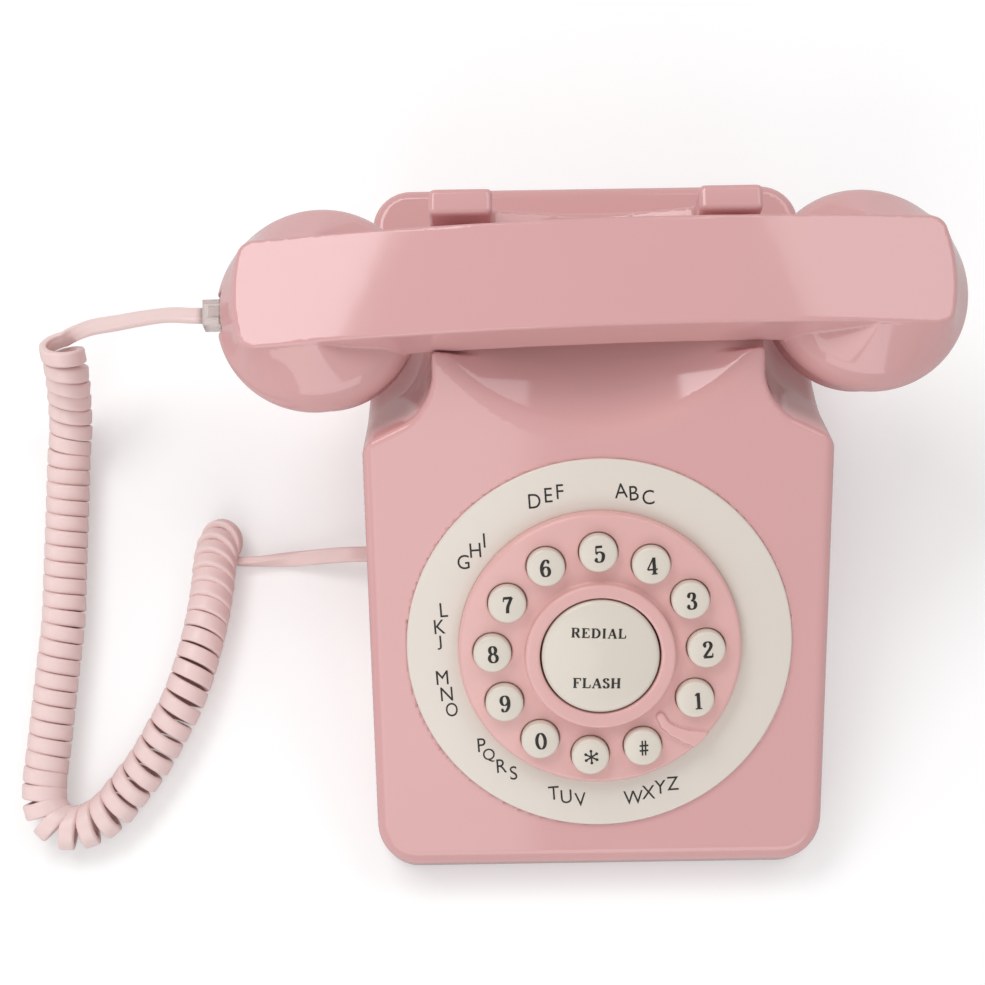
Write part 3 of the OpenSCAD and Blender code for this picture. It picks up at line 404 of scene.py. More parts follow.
# The tail turns from standing on its edge to lying flat between these places.
TAIL_X, TAIL_DEGREES = [-0.108, -0.098, -0.087], [0, 30, 90]
turned = np.radians(np.interp(tail_line[:, 0], TAIL_X, TAIL_DEGREES))
tail_up = np.column_stack([np.zeros(len(turned)), -np.cos(turned), np.sin(turned)])
flat_up = np.vstack([lead_up, radial, tail_up])

# %% [markdown]
# The sheath is flat outside the coil and has two shallow valleys inside it, where the
# cores press through, and these show as two lines along the straight ends. Normals
# are smoothed, so 22 points round the section are enough.

# %% The cord's sheath
def mesh_object(name, verts, faces, material, smooth=True):
    mesh = bpy.data.meshes.new(name)
    mesh.from_pydata([tuple(v) for v in verts], [], [tuple(int(i) for i in f) for f in faces])
    mesh.validate()
    obj = bpy.data.objects.new(name, mesh)
    bpy.context.collection.objects.link(obj)
    mesh.materials.append(material)
    if smooth:
        mesh.polygons.foreach_set("use_smooth", [True] * len(mesh.polygons))
    mesh.update()
    return obj


def swept(name, line, up_hint, section, material):
    """Carries a closed section (across, up) along a line and caps both ends."""
    ahead = unit(np.gradient(line, axis=0))
    up = unit(up_hint - ahead * np.sum(up_hint * ahead, axis=1)[:, None])
    for _ in range(3):
        up[1:-1] = (up[:-2] + 2 * up[1:-1] + up[2:]) / 4
    up = unit(up - ahead * np.sum(up * ahead, axis=1)[:, None])
    across = np.cross(ahead, up)
    m = len(section)
    rings = (line[:, None] + across[:, None] * section[None, :, :1]
             + up[:, None] * section[None, :, 1:])
    faces = [(i * m + k, i * m + (k + 1) % m, (i + 1) * m + (k + 1) % m, (i + 1) * m + k)
             for i in range(len(line) - 1) for k in range(m)]
    last_ring = (len(line) - 1) * m
    faces += [tuple(range(m - 1, -1, -1)), tuple(last_ring + k for k in range(m))]
    return mesh_object(name, rings.reshape(-1, 3), faces, material)


# From the outer flat side round one edge to the inner side, as shares of the half size
half_section = np.array([
    (0, 0.98), (0.36, 1.0), (0.72, 0.97), (0.88, 0.86), (0.97, 0.62), (1.0, 0.30), (1.0, -0.40),
    (0.93, -0.80), (0.75, -1.0), (0.50, -0.80), (0.25, -0.97), (0, -0.92)])
other_half = half_section[-2:0:-1] * (-1, 1)
flat_section = np.vstack([half_section, other_half])[::-1] * (CORD_WIDTH / 2, CORD_THICKNESS / 2)
cord = swept("curly_cord_flat_cable", centreline, flat_up, flat_section, rose_pvc)
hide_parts("curly_cord", "handset_lead", "base_lead")
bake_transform(cord)

# %% [markdown]
# The big mouldings are all fillets and soft edges, which are hard to model face by
# face. They are described instead by a distance field: a function that is negative
# inside the plastic, and zero on its skin. Two fields join or cut with a rounded
# corner of any radius, just as a toolmaker blends a mould.

# %% Distance fields
def soft_max(a, b, r):
    """What two fields share, with their corner rounded to radius r."""
    return np.minimum(np.maximum(a, b), -r) + np.hypot(np.maximum(a + r, 0), np.maximum(b + r, 0))


def soft_min(a, b, r):
    """Two fields joined, with a fillet of radius r."""
    return -soft_max(-a, -b, r)


def slope_of(field, p, d=0.02):
    """The field's slope at points p, from its values d mm to each side."""
    steps = np.eye(3) * d
    g = np.stack([field(*(p + s).T) - field(*(p - s).T) for s in steps], axis=1)
    return g / (2 * d)


def rounded_rect(x, y, half_x, half_y, r):
    qx, qy = np.abs(x) - half_x + r, np.abs(y) - half_y + r
    return np.hypot(np.maximum(qx, 0), np.maximum(qy, 0)) + np.minimum(np.maximum(qx, qy), 0) - r


print("a rounding of 1 mm takes", soft_max(0.0, 0.0, 1.0).round(2), "mm off a square corner")

# %% [markdown]
# A surface net turns a field into a mesh. Space is cut into small cubes, and every
# cube that the skin passes through gets one corner of the mesh, at the middle of the
# places where the skin crosses its edges. Each crossed edge then gives one quad. The
# corners are pulled onto the zero level, and each takes the field's own slope as its
# normal, so highlights flow without facets.

# %% The surface net
def net(field, low, high, step):
    """Surface net of field = 0 in a box, all in mm. Gives vertices, quads and normals."""
    axes = [np.arange(low[k], high[k] + step, step) for k in range(3)]
    grid = np.meshgrid(*axes, indexing="ij")
    values = field(*grid)
    values[values == 0] = 1e-9
    inside = values < 0
    cubes = np.array(values.shape) - 1
    total, count, quads = np.zeros(cubes.tolist() + [3]), np.zeros(cubes), []
    for k in range(3):
        # The grid's edges along axis k that cross the skin
        along, within = np.moveaxis(values, k, 0), np.moveaxis(inside, k, 0)
        hit = within[:-1] != within[1:]
        found = np.argwhere(hit)
        start = np.zeros_like(found)
        start[:, [k] + [other for other in range(3) if other != k]] = found
        here, there = along[:-1][hit], along[1:][hit]
        point = np.column_stack([axes[other][start[:, other]] for other in range(3)])
        point[:, k] += step * here / (here - there)
        i, j = (k + 1) % 3, (k + 2) % 3
        for back_i, back_j in ((0, 0), (0, 1), (1, 0), (1, 1)):
            cube = start.copy()
            cube[:, i] -= back_i
            cube[:, j] -= back_j
            ok = np.all((cube >= 0) & (cube < cubes), axis=1)
            np.add.at(total, tuple(cube[ok].T), point[ok])
            np.add.at(count, tuple(cube[ok].T), 1)
        ok = np.all((start[:, [i, j]] >= 1) & (start[:, [i, j]] < cubes[[i, j]]), axis=1)
        base = start[ok]
        one_i, one_j = np.eye(3, dtype=int)[i], np.eye(3, dtype=int)[j]
        ring = np.stack([base, base - one_i, base - one_i - one_j, base - one_j], axis=1)
        flip = ~(here[ok] < 0)
        ring[flip] = ring[flip][:, ::-1]
        quads.append(ring)
    used = count > 0
    number = np.full(count.shape, -1)
    number[used] = np.arange(used.sum())
    verts = total[used] / count[used][:, None]
    quads = np.vstack(quads)
    faces = number[quads[..., 0], quads[..., 1], quads[..., 2]]
    # Three steps down the slope, none so long that it could fold the mesh
    first_verts = verts.copy()
    for _ in range(3):
        g = slope_of(field, verts)
        size = np.maximum(np.sum(g * g, axis=1), 0.05)[:, None]
        move = field(*verts.T)[:, None] * g / size
        verts = verts - np.clip(move, -0.5 * step, 0.5 * step)
    verts = np.clip(verts, first_verts - 0.8 * step, first_verts + 0.8 * step)
    g = slope_of(field, verts, 0.05)
    normals = g / np.maximum(np.linalg.norm(g, axis=1), 1e-6)[:, None]
    return verts, faces, normals


def moulding(name, field, low, high, step, material, place=None):
    """A piece from its field; place, if given, carries its points to the frame."""
    verts, faces, normals = net(field, low, high, step)
    if place:
        verts, normals = place(verts), place(normals) - place(np.zeros(3))
    obj = mesh_object(name, verts / 1000, faces, material)
    if len(obj.data.vertices) == len(normals):
        obj.data.normals_split_custom_set_from_vertices([tuple(n) for n in normals])
    print(name, "net:", len(verts), "corners,", len(faces), "quads")
    return obj

# %% [markdown]
# The upper housing is one injection moulding. Its face slopes at 28 degrees, so the
# dial's pieces are placed in coordinates of their own: across the face, up the slope
# from the dial's middle, and above the face. Two functions go there and back.

# %% The sloping face
SLOPE = math.radians(28)
SIN, COS = math.sin(SLOPE), math.cos(SLOPE)
FRONT_Y, FRONT_Z = -104.2, 15.4  # the face's lower edge
ring_low, ring_high = (np.array(corner) * 1000 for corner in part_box("dial_ring"))
ring_middle = (ring_low + ring_high) / 2
DIAL_T = (ring_middle[1] - FRONT_Y) * COS + (ring_middle[2] - FRONT_Z) * SIN
print("dial centre", round(DIAL_T, 2), "mm up the face")


def on_face(u, v, h):
    """From dial coordinates (across, up the slope, above the face) to the frame, in mm."""
    t = DIAL_T + v
    y, z = FRONT_Y + t * COS - h * SIN, FRONT_Z + t * SIN + h * COS
    return np.stack(np.broadcast_arrays(u, y, z), axis=-1)


def face_coordinates(x, y, z):
    """The other way round: how far up the slope from the dial's middle, and how high."""
    dy, dz = y - FRONT_Y, z - FRONT_Z
    return dy * COS + dz * SIN - DIAL_T, -dy * SIN + dz * COS


# %% [markdown]
# Behind the face's shoulders the top drops into two hollows beside a neck. The face's
# upper corners and two posts behind them are the four horns that hold the handset,
# with a finger scoop between the corners. Each number after two fields is the radius
# of the corner between them, in millimetres.

# %% The housing's top
SHOULDER_OUTER, SHOULDER_INNER = (67.8, 128.9), (54.0, 135.6)  # across, up the face
DECK_Z, HOLLOW_SLOPE = 36, math.radians(54)
NECK_X, NECK_BACK = 47.2, 79.03
SEAT_FRONT, SEAT_Z = 34.03, 83.68
SCOOP_RADIUS, SCOOP_Z = 95, 172.18
POST_X, POST_FRONT, POST_LOW, POST_HIGH = 29.2, 71.03, 70, 97.98
BEND_IN, BEND_OUT = 34, 46


def shoulder(across, up_face):
    return np.array([across, FRONT_Y + up_face * COS, FRONT_Z + up_face * SIN])


shoulder_a, shoulder_b = shoulder(*SHOULDER_OUTER), shoulder(*SHOULDER_INNER)
drop = shoulder_a[2] - DECK_Z
shoulder_c = shoulder_a + np.array([0, drop / math.tan(HOLLOW_SLOPE), -drop])
wall_out = np.cross(shoulder_c - shoulder_a, shoulder_b - shoulder_a)
wall_out /= np.linalg.norm(wall_out)
print("the hollows' walls face", wall_out.round(2))


def housing_top(x, y, z):
    """Solid below the hollows, the neck and its horns."""
    ax = np.abs(x)
    # Nearer the middle than BEND_OUT the wall bends round to run straight across, so
    # that no ridge stands on the deck behind the neck.
    middle, spread = (BEND_IN + BEND_OUT) / 2, 2 * (BEND_OUT - BEND_IN)
    bent = np.where(ax > BEND_OUT, ax, middle + np.maximum(ax - BEND_IN, 0) ** 2 / spread)
    wall = (wall_out[0] * (bent - shoulder_a[0]) + wall_out[1] * (y - shoulder_a[1])
            + wall_out[2] * (z - shoulder_a[2]))
    sides = soft_max(ax - NECK_X, y - NECK_BACK, 2.5)
    neck = soft_max(sides, soft_min(y - SEAT_FRONT, z - SEAT_Z, 1.5), 1.2)
    body = soft_min(soft_min(wall, z - DECK_Z, 20), neck, 9)
    body = soft_max(body, SCOOP_RADIUS - np.hypot(x, z - SCOOP_Z), 1.0)
    post_x = np.maximum(ax - NECK_X, POST_X - ax)
    post_y = np.maximum(y - NECK_BACK, POST_FRONT - y)
    post = soft_max(soft_max(post_x, post_y, 1.6), z - POST_HIGH, 1.6)
    return soft_min(body, np.maximum(post, POST_LOW - z), 0.4)


# %% [markdown]
# The whole moulding is a shell: the outer form less a room inside it, and less the
# openings. Behind the dial a pad carries the ring, with a bore for the key plate, and
# a column stands round each of the four screws.

# %% Upper housing
GRIP_Y = 51.428  # the handset's middle line
HALF_WIDTH, HALF_DEPTH, CORNER = 66.6, 104.2, 12
LEAN, LEAN_FROM, LEAN_OVER = 1.2, 18, 60  # how far the sides lean out, and over what height
SIDE_EDGE, RIM_EDGE, UNDERSIDE, WALL = 3.5, 1.6, 1.6, 2.5
PAD_RADIUS, PAD_DEPTH = 60.3, 6
COLUMN_X, COLUMN_FRONT, COLUMN_BACK, COLUMN_RADIUS, COLUMN_Z = 53.6, -89.2, 87.2, 4.5, 6.2
RING_SEAT_RADIUS, RING_SEAT_DEPTH = 55.9, 2
BORE_RADIUS, BORE_TOP, BORE_DEPTH = 43.8, 2, 12
PLUNGER_X, PLUNGER_BORE = 38, 2.6
# An opening: middle along the wall, height, half width, half height, corner
HANDSET_JACK = (-7.8, 10.1, 4.1, 4.2, 0.5)
LINE_JACK = (24, 14.6, 4.1, 4.5, 0.5)
RINGER_SLOT = (-24, 14, 5, 2.3, 0.4)
JACK_FROM, JACK_TO, BACK_FROM = -70, -63, 101


def opening_in_wall(along, z, middle, height, half_x, half_z, corner):
    return rounded_rect(along - middle, z - height, half_x, half_z, corner)


def housing(x, y, z):
    v, h = face_coordinates(x, y, z)
    rho = np.hypot(x, v)
    top = housing_top(x, y, z)
    lean = LEAN * np.clip((z - LEAN_FROM) / LEAN_OVER, 0, 1)
    plan = rounded_rect(x, y, HALF_WIDTH + lean, HALF_DEPTH, CORNER)
    outer = soft_max(soft_max(h, top, RIM_EDGE), plan, SIDE_EDGE)
    outer = soft_max(outer, UNDERSIDE - z, 0.8)
    room = np.maximum(np.maximum(plan + WALL, h + WALL), top + WALL)
    pad = np.maximum(rho - PAD_RADIUS, -PAD_DEPTH - h)
    column_y = np.where(y < 0, y - COLUMN_FRONT, y - COLUMN_BACK)
    column = np.hypot(np.abs(x) - COLUMN_X, column_y) - COLUMN_RADIUS
    column = np.maximum(column, COLUMN_Z - z)
    room = soft_max(soft_max(room, -pad, 0.8), -column, 0.6)
    openings = np.minimum.reduce([
        np.maximum(rho - RING_SEAT_RADIUS, -RING_SEAT_DEPTH - h),
        np.maximum(rho - BORE_RADIUS, np.maximum(h - BORE_TOP, -h - BORE_DEPTH)),
        np.maximum(opening_in_wall(y, z, *HANDSET_JACK), np.maximum(x - JACK_TO, JACK_FROM - x)),
        np.maximum(opening_in_wall(x, z, *LINE_JACK), BACK_FROM - y),
        np.maximum(opening_in_wall(x, z, *RINGER_SLOT), BACK_FROM - y),
        np.maximum(np.hypot(np.abs(x) - PLUNGER_X, y - GRIP_Y) - PLUNGER_BORE, POST_LOW - z)])
    return soft_max(soft_max(outer, -room, 0.5), -openings, 0.5)


housing_piece = moulding("upper_housing_moulded", housing, (-69.3, -106, -0.4), (69.3, 106, 100),
                         1.1, rose_abs)
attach(housing_piece, "base")
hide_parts("upper_housing")

# %% [markdown]
# The handset is a shallow arch with a flat back. Towards each end the flat back stays
# narrow while the sides swell down and out into a round cap, like a cone pressed out
# of a rectangle. The field below measures that cone in the plane that stands square
# to its edge: a straight flank above a rounded foot.

# %% The handset's ends
TOP_Z, YAW, OFFSET_X, ARCH = 103.98, math.radians(1.3), -0.9, 560.0
BACK_HALF, BACK_EDGE = 15.8, 1.0
BOW_RADIUS, BOW_MIDDLE, BACK_INNER = 54, 48.3, 78.3
CAP_S = 82  # from the handset's middle to a cap's axis, along the arch
FOOT_RING, FOOT_DROP, FOOT_RADIUS = 18, 19.3, 12  # the ring that the foot is rounded about


def handset_coordinates(x, y, z):
    dx, dy = x - OFFSET_X, y - GRIP_Y
    c, s = math.cos(YAW), math.sin(YAW)
    return dx * c + dy * s, -dx * s + dy * c, z - TOP_Z


def back_outline(s, y):
    """The flat back's outline at one end, from above: straight sides and a bowed end."""
    bow = np.hypot(s - BOW_MIDDLE, y) - BOW_RADIUS
    return soft_max(soft_max(np.abs(y) - BACK_HALF, bow, 3), BACK_INNER - s, 0.5)


def end_dome(x, y, w):
    """One end's field, the height from its own back plane, and the distance from its axis."""
    lean = CAP_S / ARCH
    c, s = math.cos(lean), math.sin(lean)
    wx = w + ARCH
    along = x * c - wx * s
    deep = x * s + wx * c - ARCH
    rho = np.hypot(along, y)
    out = rho - FOOT_RING
    # In this plane the flank is a line that touches two circles: a small one at the
    # back's edge, centred on (px, pz), and the foot's.
    px, pz = out - back_outline(along + CAP_S, y) - BACK_EDGE, -BACK_EDGE
    mx, mz = -px, -FOOT_DROP - pz
    apart = np.hypot(mx, mz)
    mx, mz = mx / apart, mz / apart
    k = (FOOT_RADIUS - BACK_EDGE) / apart
    root = np.sqrt(np.maximum(1 - k * k, 0))
    nx, nz = -k * mx - root * mz, -k * mz + root * mx
    flank = nx * (out - px) + nz * (deep - pz) - BACK_EDGE
    foot = np.hypot(np.maximum(out, 0), deep + FOOT_DROP) - FOOT_RADIUS
    below_flank = out * nz - (deep + FOOT_DROP) * nx > 0
    return np.where(below_flank, foot, flank), deep, rho


print("a cap's axis leans", round(math.degrees(CAP_S / ARCH), 1), "degrees")

# %% [markdown]
# Grip and ends are joined first, and one arched surface then trims them all, so the
# back runs through unbroken. Below, each end is cut off flat where its screwed cap
# begins, and bored for its capsule. A channel in the grip takes what lies inside it.

# %% Handset shell
GRIP_DEPTH, UNDER_END, GRIP_END = 18, 62, 97
SEAM_DROP, SEAM_FROM, NO_CUT = 27, 55, -999
CAPSULE_BORE, CAPSULE_ROOF = 22.2, 14
CHANNEL_HALF, CHANNEL_END, COVER = 11.6, 49.9, 2.4
SOCKET_HALF_Y, SOCKET_HALF_Z, SOCKET_DROP, SOCKET_FROM, SOCKET_TO = 5.8, 4.7, 26, -120, -90.2


def handset(x, y, z):
    hx, hy, w = handset_coordinates(x, y, z)
    ax, ay = np.abs(hx), np.abs(hy)
    high = np.hypot(hx, w + ARCH) - ARCH
    s = ARCH * np.arctan2(ax, w + ARCH)
    under = soft_min(-GRIP_DEPTH - high, UNDER_END - ax, 12)
    grip = soft_max(ay - BACK_HALF, np.maximum(under, s - GRIP_END), 1.3)
    dome, deep, rho = end_dome(ax, hy, w)
    body = soft_max(soft_min(grip, dome, 0.6), high, 0.9)
    body = soft_max(body, np.where(ax < SEAM_FROM, NO_CUT, -SEAM_DROP - deep), 0.5)
    capsule = np.maximum(rho - CAPSULE_BORE, deep + CAPSULE_ROOF)
    channel = np.maximum(np.maximum(ay - CHANNEL_HALF, ax - CHANNEL_END), high + COVER)
    socket = np.maximum(np.maximum(ay - SOCKET_HALF_Y, np.abs(w + SOCKET_DROP) - SOCKET_HALF_Z),
                        np.maximum(hx - SOCKET_TO, SOCKET_FROM - hx))
    return soft_max(body, -np.minimum(np.minimum(capsule, channel), socket), 0.4)


handset_piece = moulding("handset_shell_moulded", handset, (-113, 18, 62), (113, 86, 105),
                         0.8, rose_abs)
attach(handset_piece, "handset")
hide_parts("handset_shell")

# %% [markdown]
# The dial is a stack: a lettered ivory ring let into the face, a pink key plate with a
# raised collar, twelve round keys and a rocker in the middle. The ring, the keys and
# the rocker are turned shapes, so each is a half profile spun round its axis.

# %% Turned pieces
PLATE_H, COLLAR_H, KEY_H, ROCKER_H = 5.0, 8.4, 8.2, 10.0
AXIS = 0.01  # a profile starts and ends this far from its axis, and the ring there is welded


def rounded_profile(corners, steps):
    """Corners are (radius, height, rounding), in mm; returns the points of the soft outline."""
    out, last = [], len(corners) - 1
    for i, (r, h, soft) in enumerate(corners):
        here = np.array([r, h], float)
        if soft == 0 or i in (0, last):
            out.append(here)
            continue
        a = np.array(corners[i - 1][:2], float) - here
        b = np.array(corners[i + 1][:2], float) - here
        a, b = a / np.linalg.norm(a), b / np.linalg.norm(b)
        for t in np.linspace(0, 1, steps + 1):
            out.append(here + soft * (a * (1 - t) ** 2 + b * t ** 2))
    return np.array(out)


def spun(name, profile, centre, material, segments):
    """Spins a profile (radius, height) about the face's own axis at centre (across, up)."""
    m = len(profile)
    radius, height = profile.T
    verts, faces = [], []
    for j in range(segments):
        a = 2 * math.pi * j / segments
        verts.append(on_face(centre[0] + radius * math.cos(a), centre[1] + radius * math.sin(a),
                             height))
        k = (j + 1) % segments
        faces += [(j * m + i, k * m + i, k * m + i + 1, j * m + i + 1) for i in range(m - 1)]
    obj = mesh_object(name, np.vstack(verts) / 1000, faces, material)
    weld = obj.modifiers.new("weld", "WELD")
    weld.merge_threshold = 0.00001
    return obj


RING_IN, RING_OUT, RING_H, RING_FOOT = 41.1, 56.3, 1.0, -1.9
ring_profile = rounded_profile([
    (RING_IN, RING_FOOT, 0), (RING_IN, RING_H, 0.4), (RING_OUT, RING_H, 0.7),
    (RING_OUT, RING_FOOT, 0.3), (RING_IN, RING_FOOT, 0)], 6)
ring_piece = spun("dial_ring_lettered", ring_profile, (0, 0), ivory_abs, 160)
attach(ring_piece, "base")
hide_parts("dial_ring")
print("ring", 2 * RING_OUT, "mm across")

# %% [markdown]
# The key plate has twelve holes, a collar round the rocker and the little ridge that
# stands where an old dial had its finger stop. It is a distance field again, because
# every one of these edges is softened. Its keys stand a little nearer the front than
# in the CAD model, and turned slightly about the dial's middle, as on the real one.

# %% Key plate
KEY_RADIUS, KEY_SHIFT, KEY_TURN = 5.5, (-0.3, -1.3), math.radians(0.8)
ROCKER_SHIFT, COLLAR_SHIFT = -0.65, -0.95  # up the slope from the dial's middle
KEY_ORDER = ["1", "2", "3", "4", "5", "6", "7", "8", "9", "0", "star", "hash"]
PLATE_RADIUS, FLANGE_RADIUS, FLANGE_H, PLATE_FOOT = 41.2, 43.5, -2.1, -6
ROOM_RADIUS, ROOM_H = 38.6, 2.5
COLLAR_RADIUS, OPENING_RADIUS, WELL_GAP = 21.8, 17.4, 0.25
RIDGE_RADIUS, RIDGE_H, RIDGE_FOOT = 40.9, 1.15, 3
FAR = 99.0


def key_place(name):
    low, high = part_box("key_" + name)
    x, y, z = (np.array(low) + np.array(high)) / 2 * 1000
    v = face_coordinates(x, y, z)[0]
    return float(x - v * KEY_TURN + KEY_SHIFT[0]), float(v + x * KEY_TURN + KEY_SHIFT[1])


key_places = {name: key_place(name) for name in KEY_ORDER}
ridge_line = np.array([(17.6, -20.4), (18.9, -22.9), (21.4, -25.0), (25.2, -26.7), (30.5, -28.2)])
ridge_half = np.array([1.25, 1.35, 1.6, 2.0, 2.9])


def finger_ridge(u, v):
    """Distance from a bent line whose half width grows towards the rim."""
    best = np.full(u.shape, FAR)
    for a, b, wa, wb in zip(ridge_line[:-1], ridge_line[1:], ridge_half[:-1], ridge_half[1:]):
        d = b - a
        t = np.clip(((u - a[0]) * d[0] + (v - a[1]) * d[1]) / (d @ d), 0, 1)
        off = np.hypot(u - a[0] - t * d[0], v - a[1] - t * d[1])
        best = soft_min(best, off - wa - t * (wb - wa), 0.3)
    return best


def key_plate(u, v, h):
    rho = np.hypot(u, v)
    plate = soft_max(rho - PLATE_RADIUS, h - PLATE_H, 1.3)
    flange = np.maximum(rho - FLANGE_RADIUS, h - FLANGE_H)
    opening = np.hypot(u, v - ROCKER_SHIFT) - OPENING_RADIUS
    collar = soft_max(np.hypot(u, v - COLLAR_SHIFT) - COLLAR_RADIUS, -opening, 0.6)
    collar = soft_max(collar, h - COLLAR_H, 0.8)
    ridge = soft_max(finger_ridge(u, v), h - PLATE_H - RIDGE_H, 0.7)
    ridge = np.maximum(soft_max(ridge, rho - RIDGE_RADIUS, 0.7), RIDGE_FOOT - h)
    body = soft_min(soft_min(plate, collar, 0.5), ridge, 0.35)
    body = np.minimum(body, flange)
    room = np.maximum(rho - ROOM_RADIUS, h - ROOM_H)
    wells = np.full(u.shape, FAR)
    for ku, kv in key_places.values():
        wells = np.minimum(wells, np.hypot(u - ku, v - kv) - KEY_RADIUS - WELL_GAP)
    cut = np.minimum(np.minimum(room, opening), np.maximum(wells, -h))
    return soft_max(soft_max(body, -cut, 0.45), PLATE_FOOT - h, 0.3)


plate_piece = moulding("key_plate_moulded", key_plate, (-44.4, -44.4, -6.6), (44.4, 44.4, 9.2),
                       0.55, light_rose_abs, place=lambda p: on_face(*np.moveaxis(p, -1, 0)))
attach(plate_piece, "base")
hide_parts("dial_plate")

# %% [markdown]
# A key cap is turned with a soft edge and a crown of a few tenths of a millimetre, so
# each one catches the light on its rim. The rocker is a wide shallow dome.

# %% Keys and rocker
KEY_CROWN_R, ROCKER_DOME_R, ROCKER_RADIUS = 45.0, 125.0, 17.05
KEY_LIP, LIP_TOP, LIP_FOOT = 6.6, 2.4, 1.2  # the lip under the plate that keeps a key in
SKIRT_FOOT, ROCKER_ROOM, ROOF_EDGE, ROOF_MIDDLE = 3.2, 15.2, 6.6, 7.4


def key_crown(radius):
    return KEY_H - radius ** 2 / (2 * KEY_CROWN_R)


def rocker_dome(radius):
    return ROCKER_H - radius ** 2 / (2 * ROCKER_DOME_R)


key_profile = rounded_profile([
    (AXIS, KEY_H, 0), (3.0, key_crown(3.0), 0), (4.3, key_crown(4.3), 0.2),
    (KEY_RADIUS, key_crown(KEY_RADIUS), 0.9), (KEY_RADIUS, 2.6, 0.1), (KEY_LIP, LIP_TOP, 0.1),
    (KEY_LIP, LIP_FOOT, 0.1), (AXIS, LIP_FOOT, 0)], 7)
for name in KEY_ORDER:
    key = spun("key_cap_" + name, key_profile, key_places[name], key_abs, 48)
    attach(key, "key_" + name)
    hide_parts("key_" + name)

rocker_profile = rounded_profile([
    (AXIS, ROCKER_H, 0), (6, rocker_dome(6), 0), (12, rocker_dome(12), 0),
    (ROCKER_RADIUS, rocker_dome(ROCKER_RADIUS), 1.4), (ROCKER_RADIUS, SKIRT_FOOT, 0.2),
    (ROCKER_ROOM, SKIRT_FOOT, 0.2), (ROCKER_ROOM, ROOF_EDGE, 0.2), (AXIS, ROOF_MIDDLE, 0)], 8)
rocker = spun("centre_rocker_cap", rocker_profile, (0, ROCKER_SHIFT), key_abs, 120)
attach(rocker, "rocker")
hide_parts("centre_rocker")
print("keys at", {n: (round(a, 1), round(b, 1)) for n, (a, b) in key_places.items()})

# %% [markdown]
# The lettering is pad printed: a soft pad lifts ink from an etched plate and dabs it
# on the moulding, leaving a flat film with crisp edges. The small ring letters are a
# plain sans serif, so Blender's own font serves. A text object is turned into a mesh,
# narrowed, and laid on the ring as a film a few hundredths of a millimetre proud.

# %% Ring letters
# letter: its middle on the ring (across, up the slope)
RING_LETTERS = {
    "A": (6.3, 46.9), "B": (10.0, 46.1), "C": (14.1, 44.8), "D": (-18.5, 44.2),
    "E": (-14.5, 45.9), "F": (-11.2, 46.9), "G": (-39.2, 26.3), "H": (-35.7, 29.8),
    "I": (-33.1, 32.7), "J": (-46.7, 1.9), "K": (-46.5, 6.8), "L": (-45.2, 11.9),
    "M": (-46.1, -8.9), "N": (-44.9, -14.0), "O": (-43.5, -18.9), "P": (-34.9, -30.2),
    "Q": (-32.8, -33.5), "R": (-29.1, -36.9), "S": (-25.6, -39.2), "T": (-13.7, -45.8),
    "U": (-10.0, -47.0), "V": (-5.8, -48.0), "W": (10.0, -47.6), "X": (14.5, -46.0),
    "Y": (18.0, -44.4), "Z": (21.7, -43.3)}
RING_CAP, RING_TURN = 4.3, math.radians(3.5)
NARROW, NARROW_ROUND = 0.88, 0.76
FILM, BITE = 0.045, 0.12  # how far the ink stands above the plastic, and reaches into it


def letter_mesh(letter):
    """The built-in font's letter as a closed prism between z = -1 and 1: points and faces."""
    curve = bpy.data.curves.new("letter", "FONT")
    curve.body, curve.extrude, curve.resolution_u = letter, 1.0, 4
    holder = bpy.data.objects.new("letter", curve)
    bpy.context.collection.objects.link(holder)
    bpy.context.view_layer.update()
    mesh = holder.evaluated_get(bpy.context.evaluated_depsgraph_get()).to_mesh()
    points = np.array([tuple(v.co) for v in mesh.vertices]).round(5)
    faces = [tuple(f.vertices) for f in mesh.polygons]
    bpy.data.objects.remove(holder)
    bpy.data.curves.remove(curve)
    points, same = np.unique(points, axis=0, return_inverse=True)
    faces = [tuple(int(same.ravel()[i]) for i in f) for f in faces]
    return points, [f for f in faces if len(set(f)) == len(f)]


def laid(points, corner, turn, height):
    """Flat points (across, up, ink) turned, moved to corner and laid on height(u, v)."""
    c, s = math.cos(turn), math.sin(turn)
    u = corner[0] + points[:, 0] * c - points[:, 1] * s
    v = corner[1] + points[:, 0] * s + points[:, 1] * c
    return on_face(u, v, height(u, v) + points[:, 2]) / 1000


def joined(parts):
    """Several pairs of points and faces as one pair."""
    points, faces = [], []
    for more_points, more_faces in parts:
        offset = sum(len(p) for p in points)
        points.append(more_points)
        faces += [tuple(i + offset for i in f) for f in more_faces]
    return np.vstack(points), faces


cap_height = np.ptp(letter_mesh("H")[0][:, 1])
letters = []
for letter, letter_middle in RING_LETTERS.items():
    points, faces = letter_mesh(letter)
    middle = (points.max(axis=0) + points.min(axis=0)) / 2
    width = NARROW_ROUND if letter in "OQ" else NARROW
    tall = max(cap_height, np.ptp(points[:, 1]))
    flat = (points - middle) * (width * RING_CAP / cap_height, RING_CAP / tall, 1)
    flat[:, 2] = np.where(points[:, 2] > 0, FILM, -BITE)
    points = laid(flat, letter_middle, RING_TURN, lambda u, v: np.full(u.shape, RING_H))
    letters.append((points, faces))
ring_print = mesh_object("dial_ring_letters", *joined(letters), pad_ink, smooth=False)
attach(ring_print, "base")
print("ring letters:", len(RING_LETTERS), "font cap height", round(float(cap_height), 3))

# %% [markdown]
# Digits and words are a bold face with serifs. Each glyph is a handful of pen strokes
# in a box one unit high: straight strokes with a width of their own, curves that swell
# where they run upright, closed rings, and round balls. A stroke becomes a thin closed
# ribbon that follows the crown of its key or the dome of the rocker.

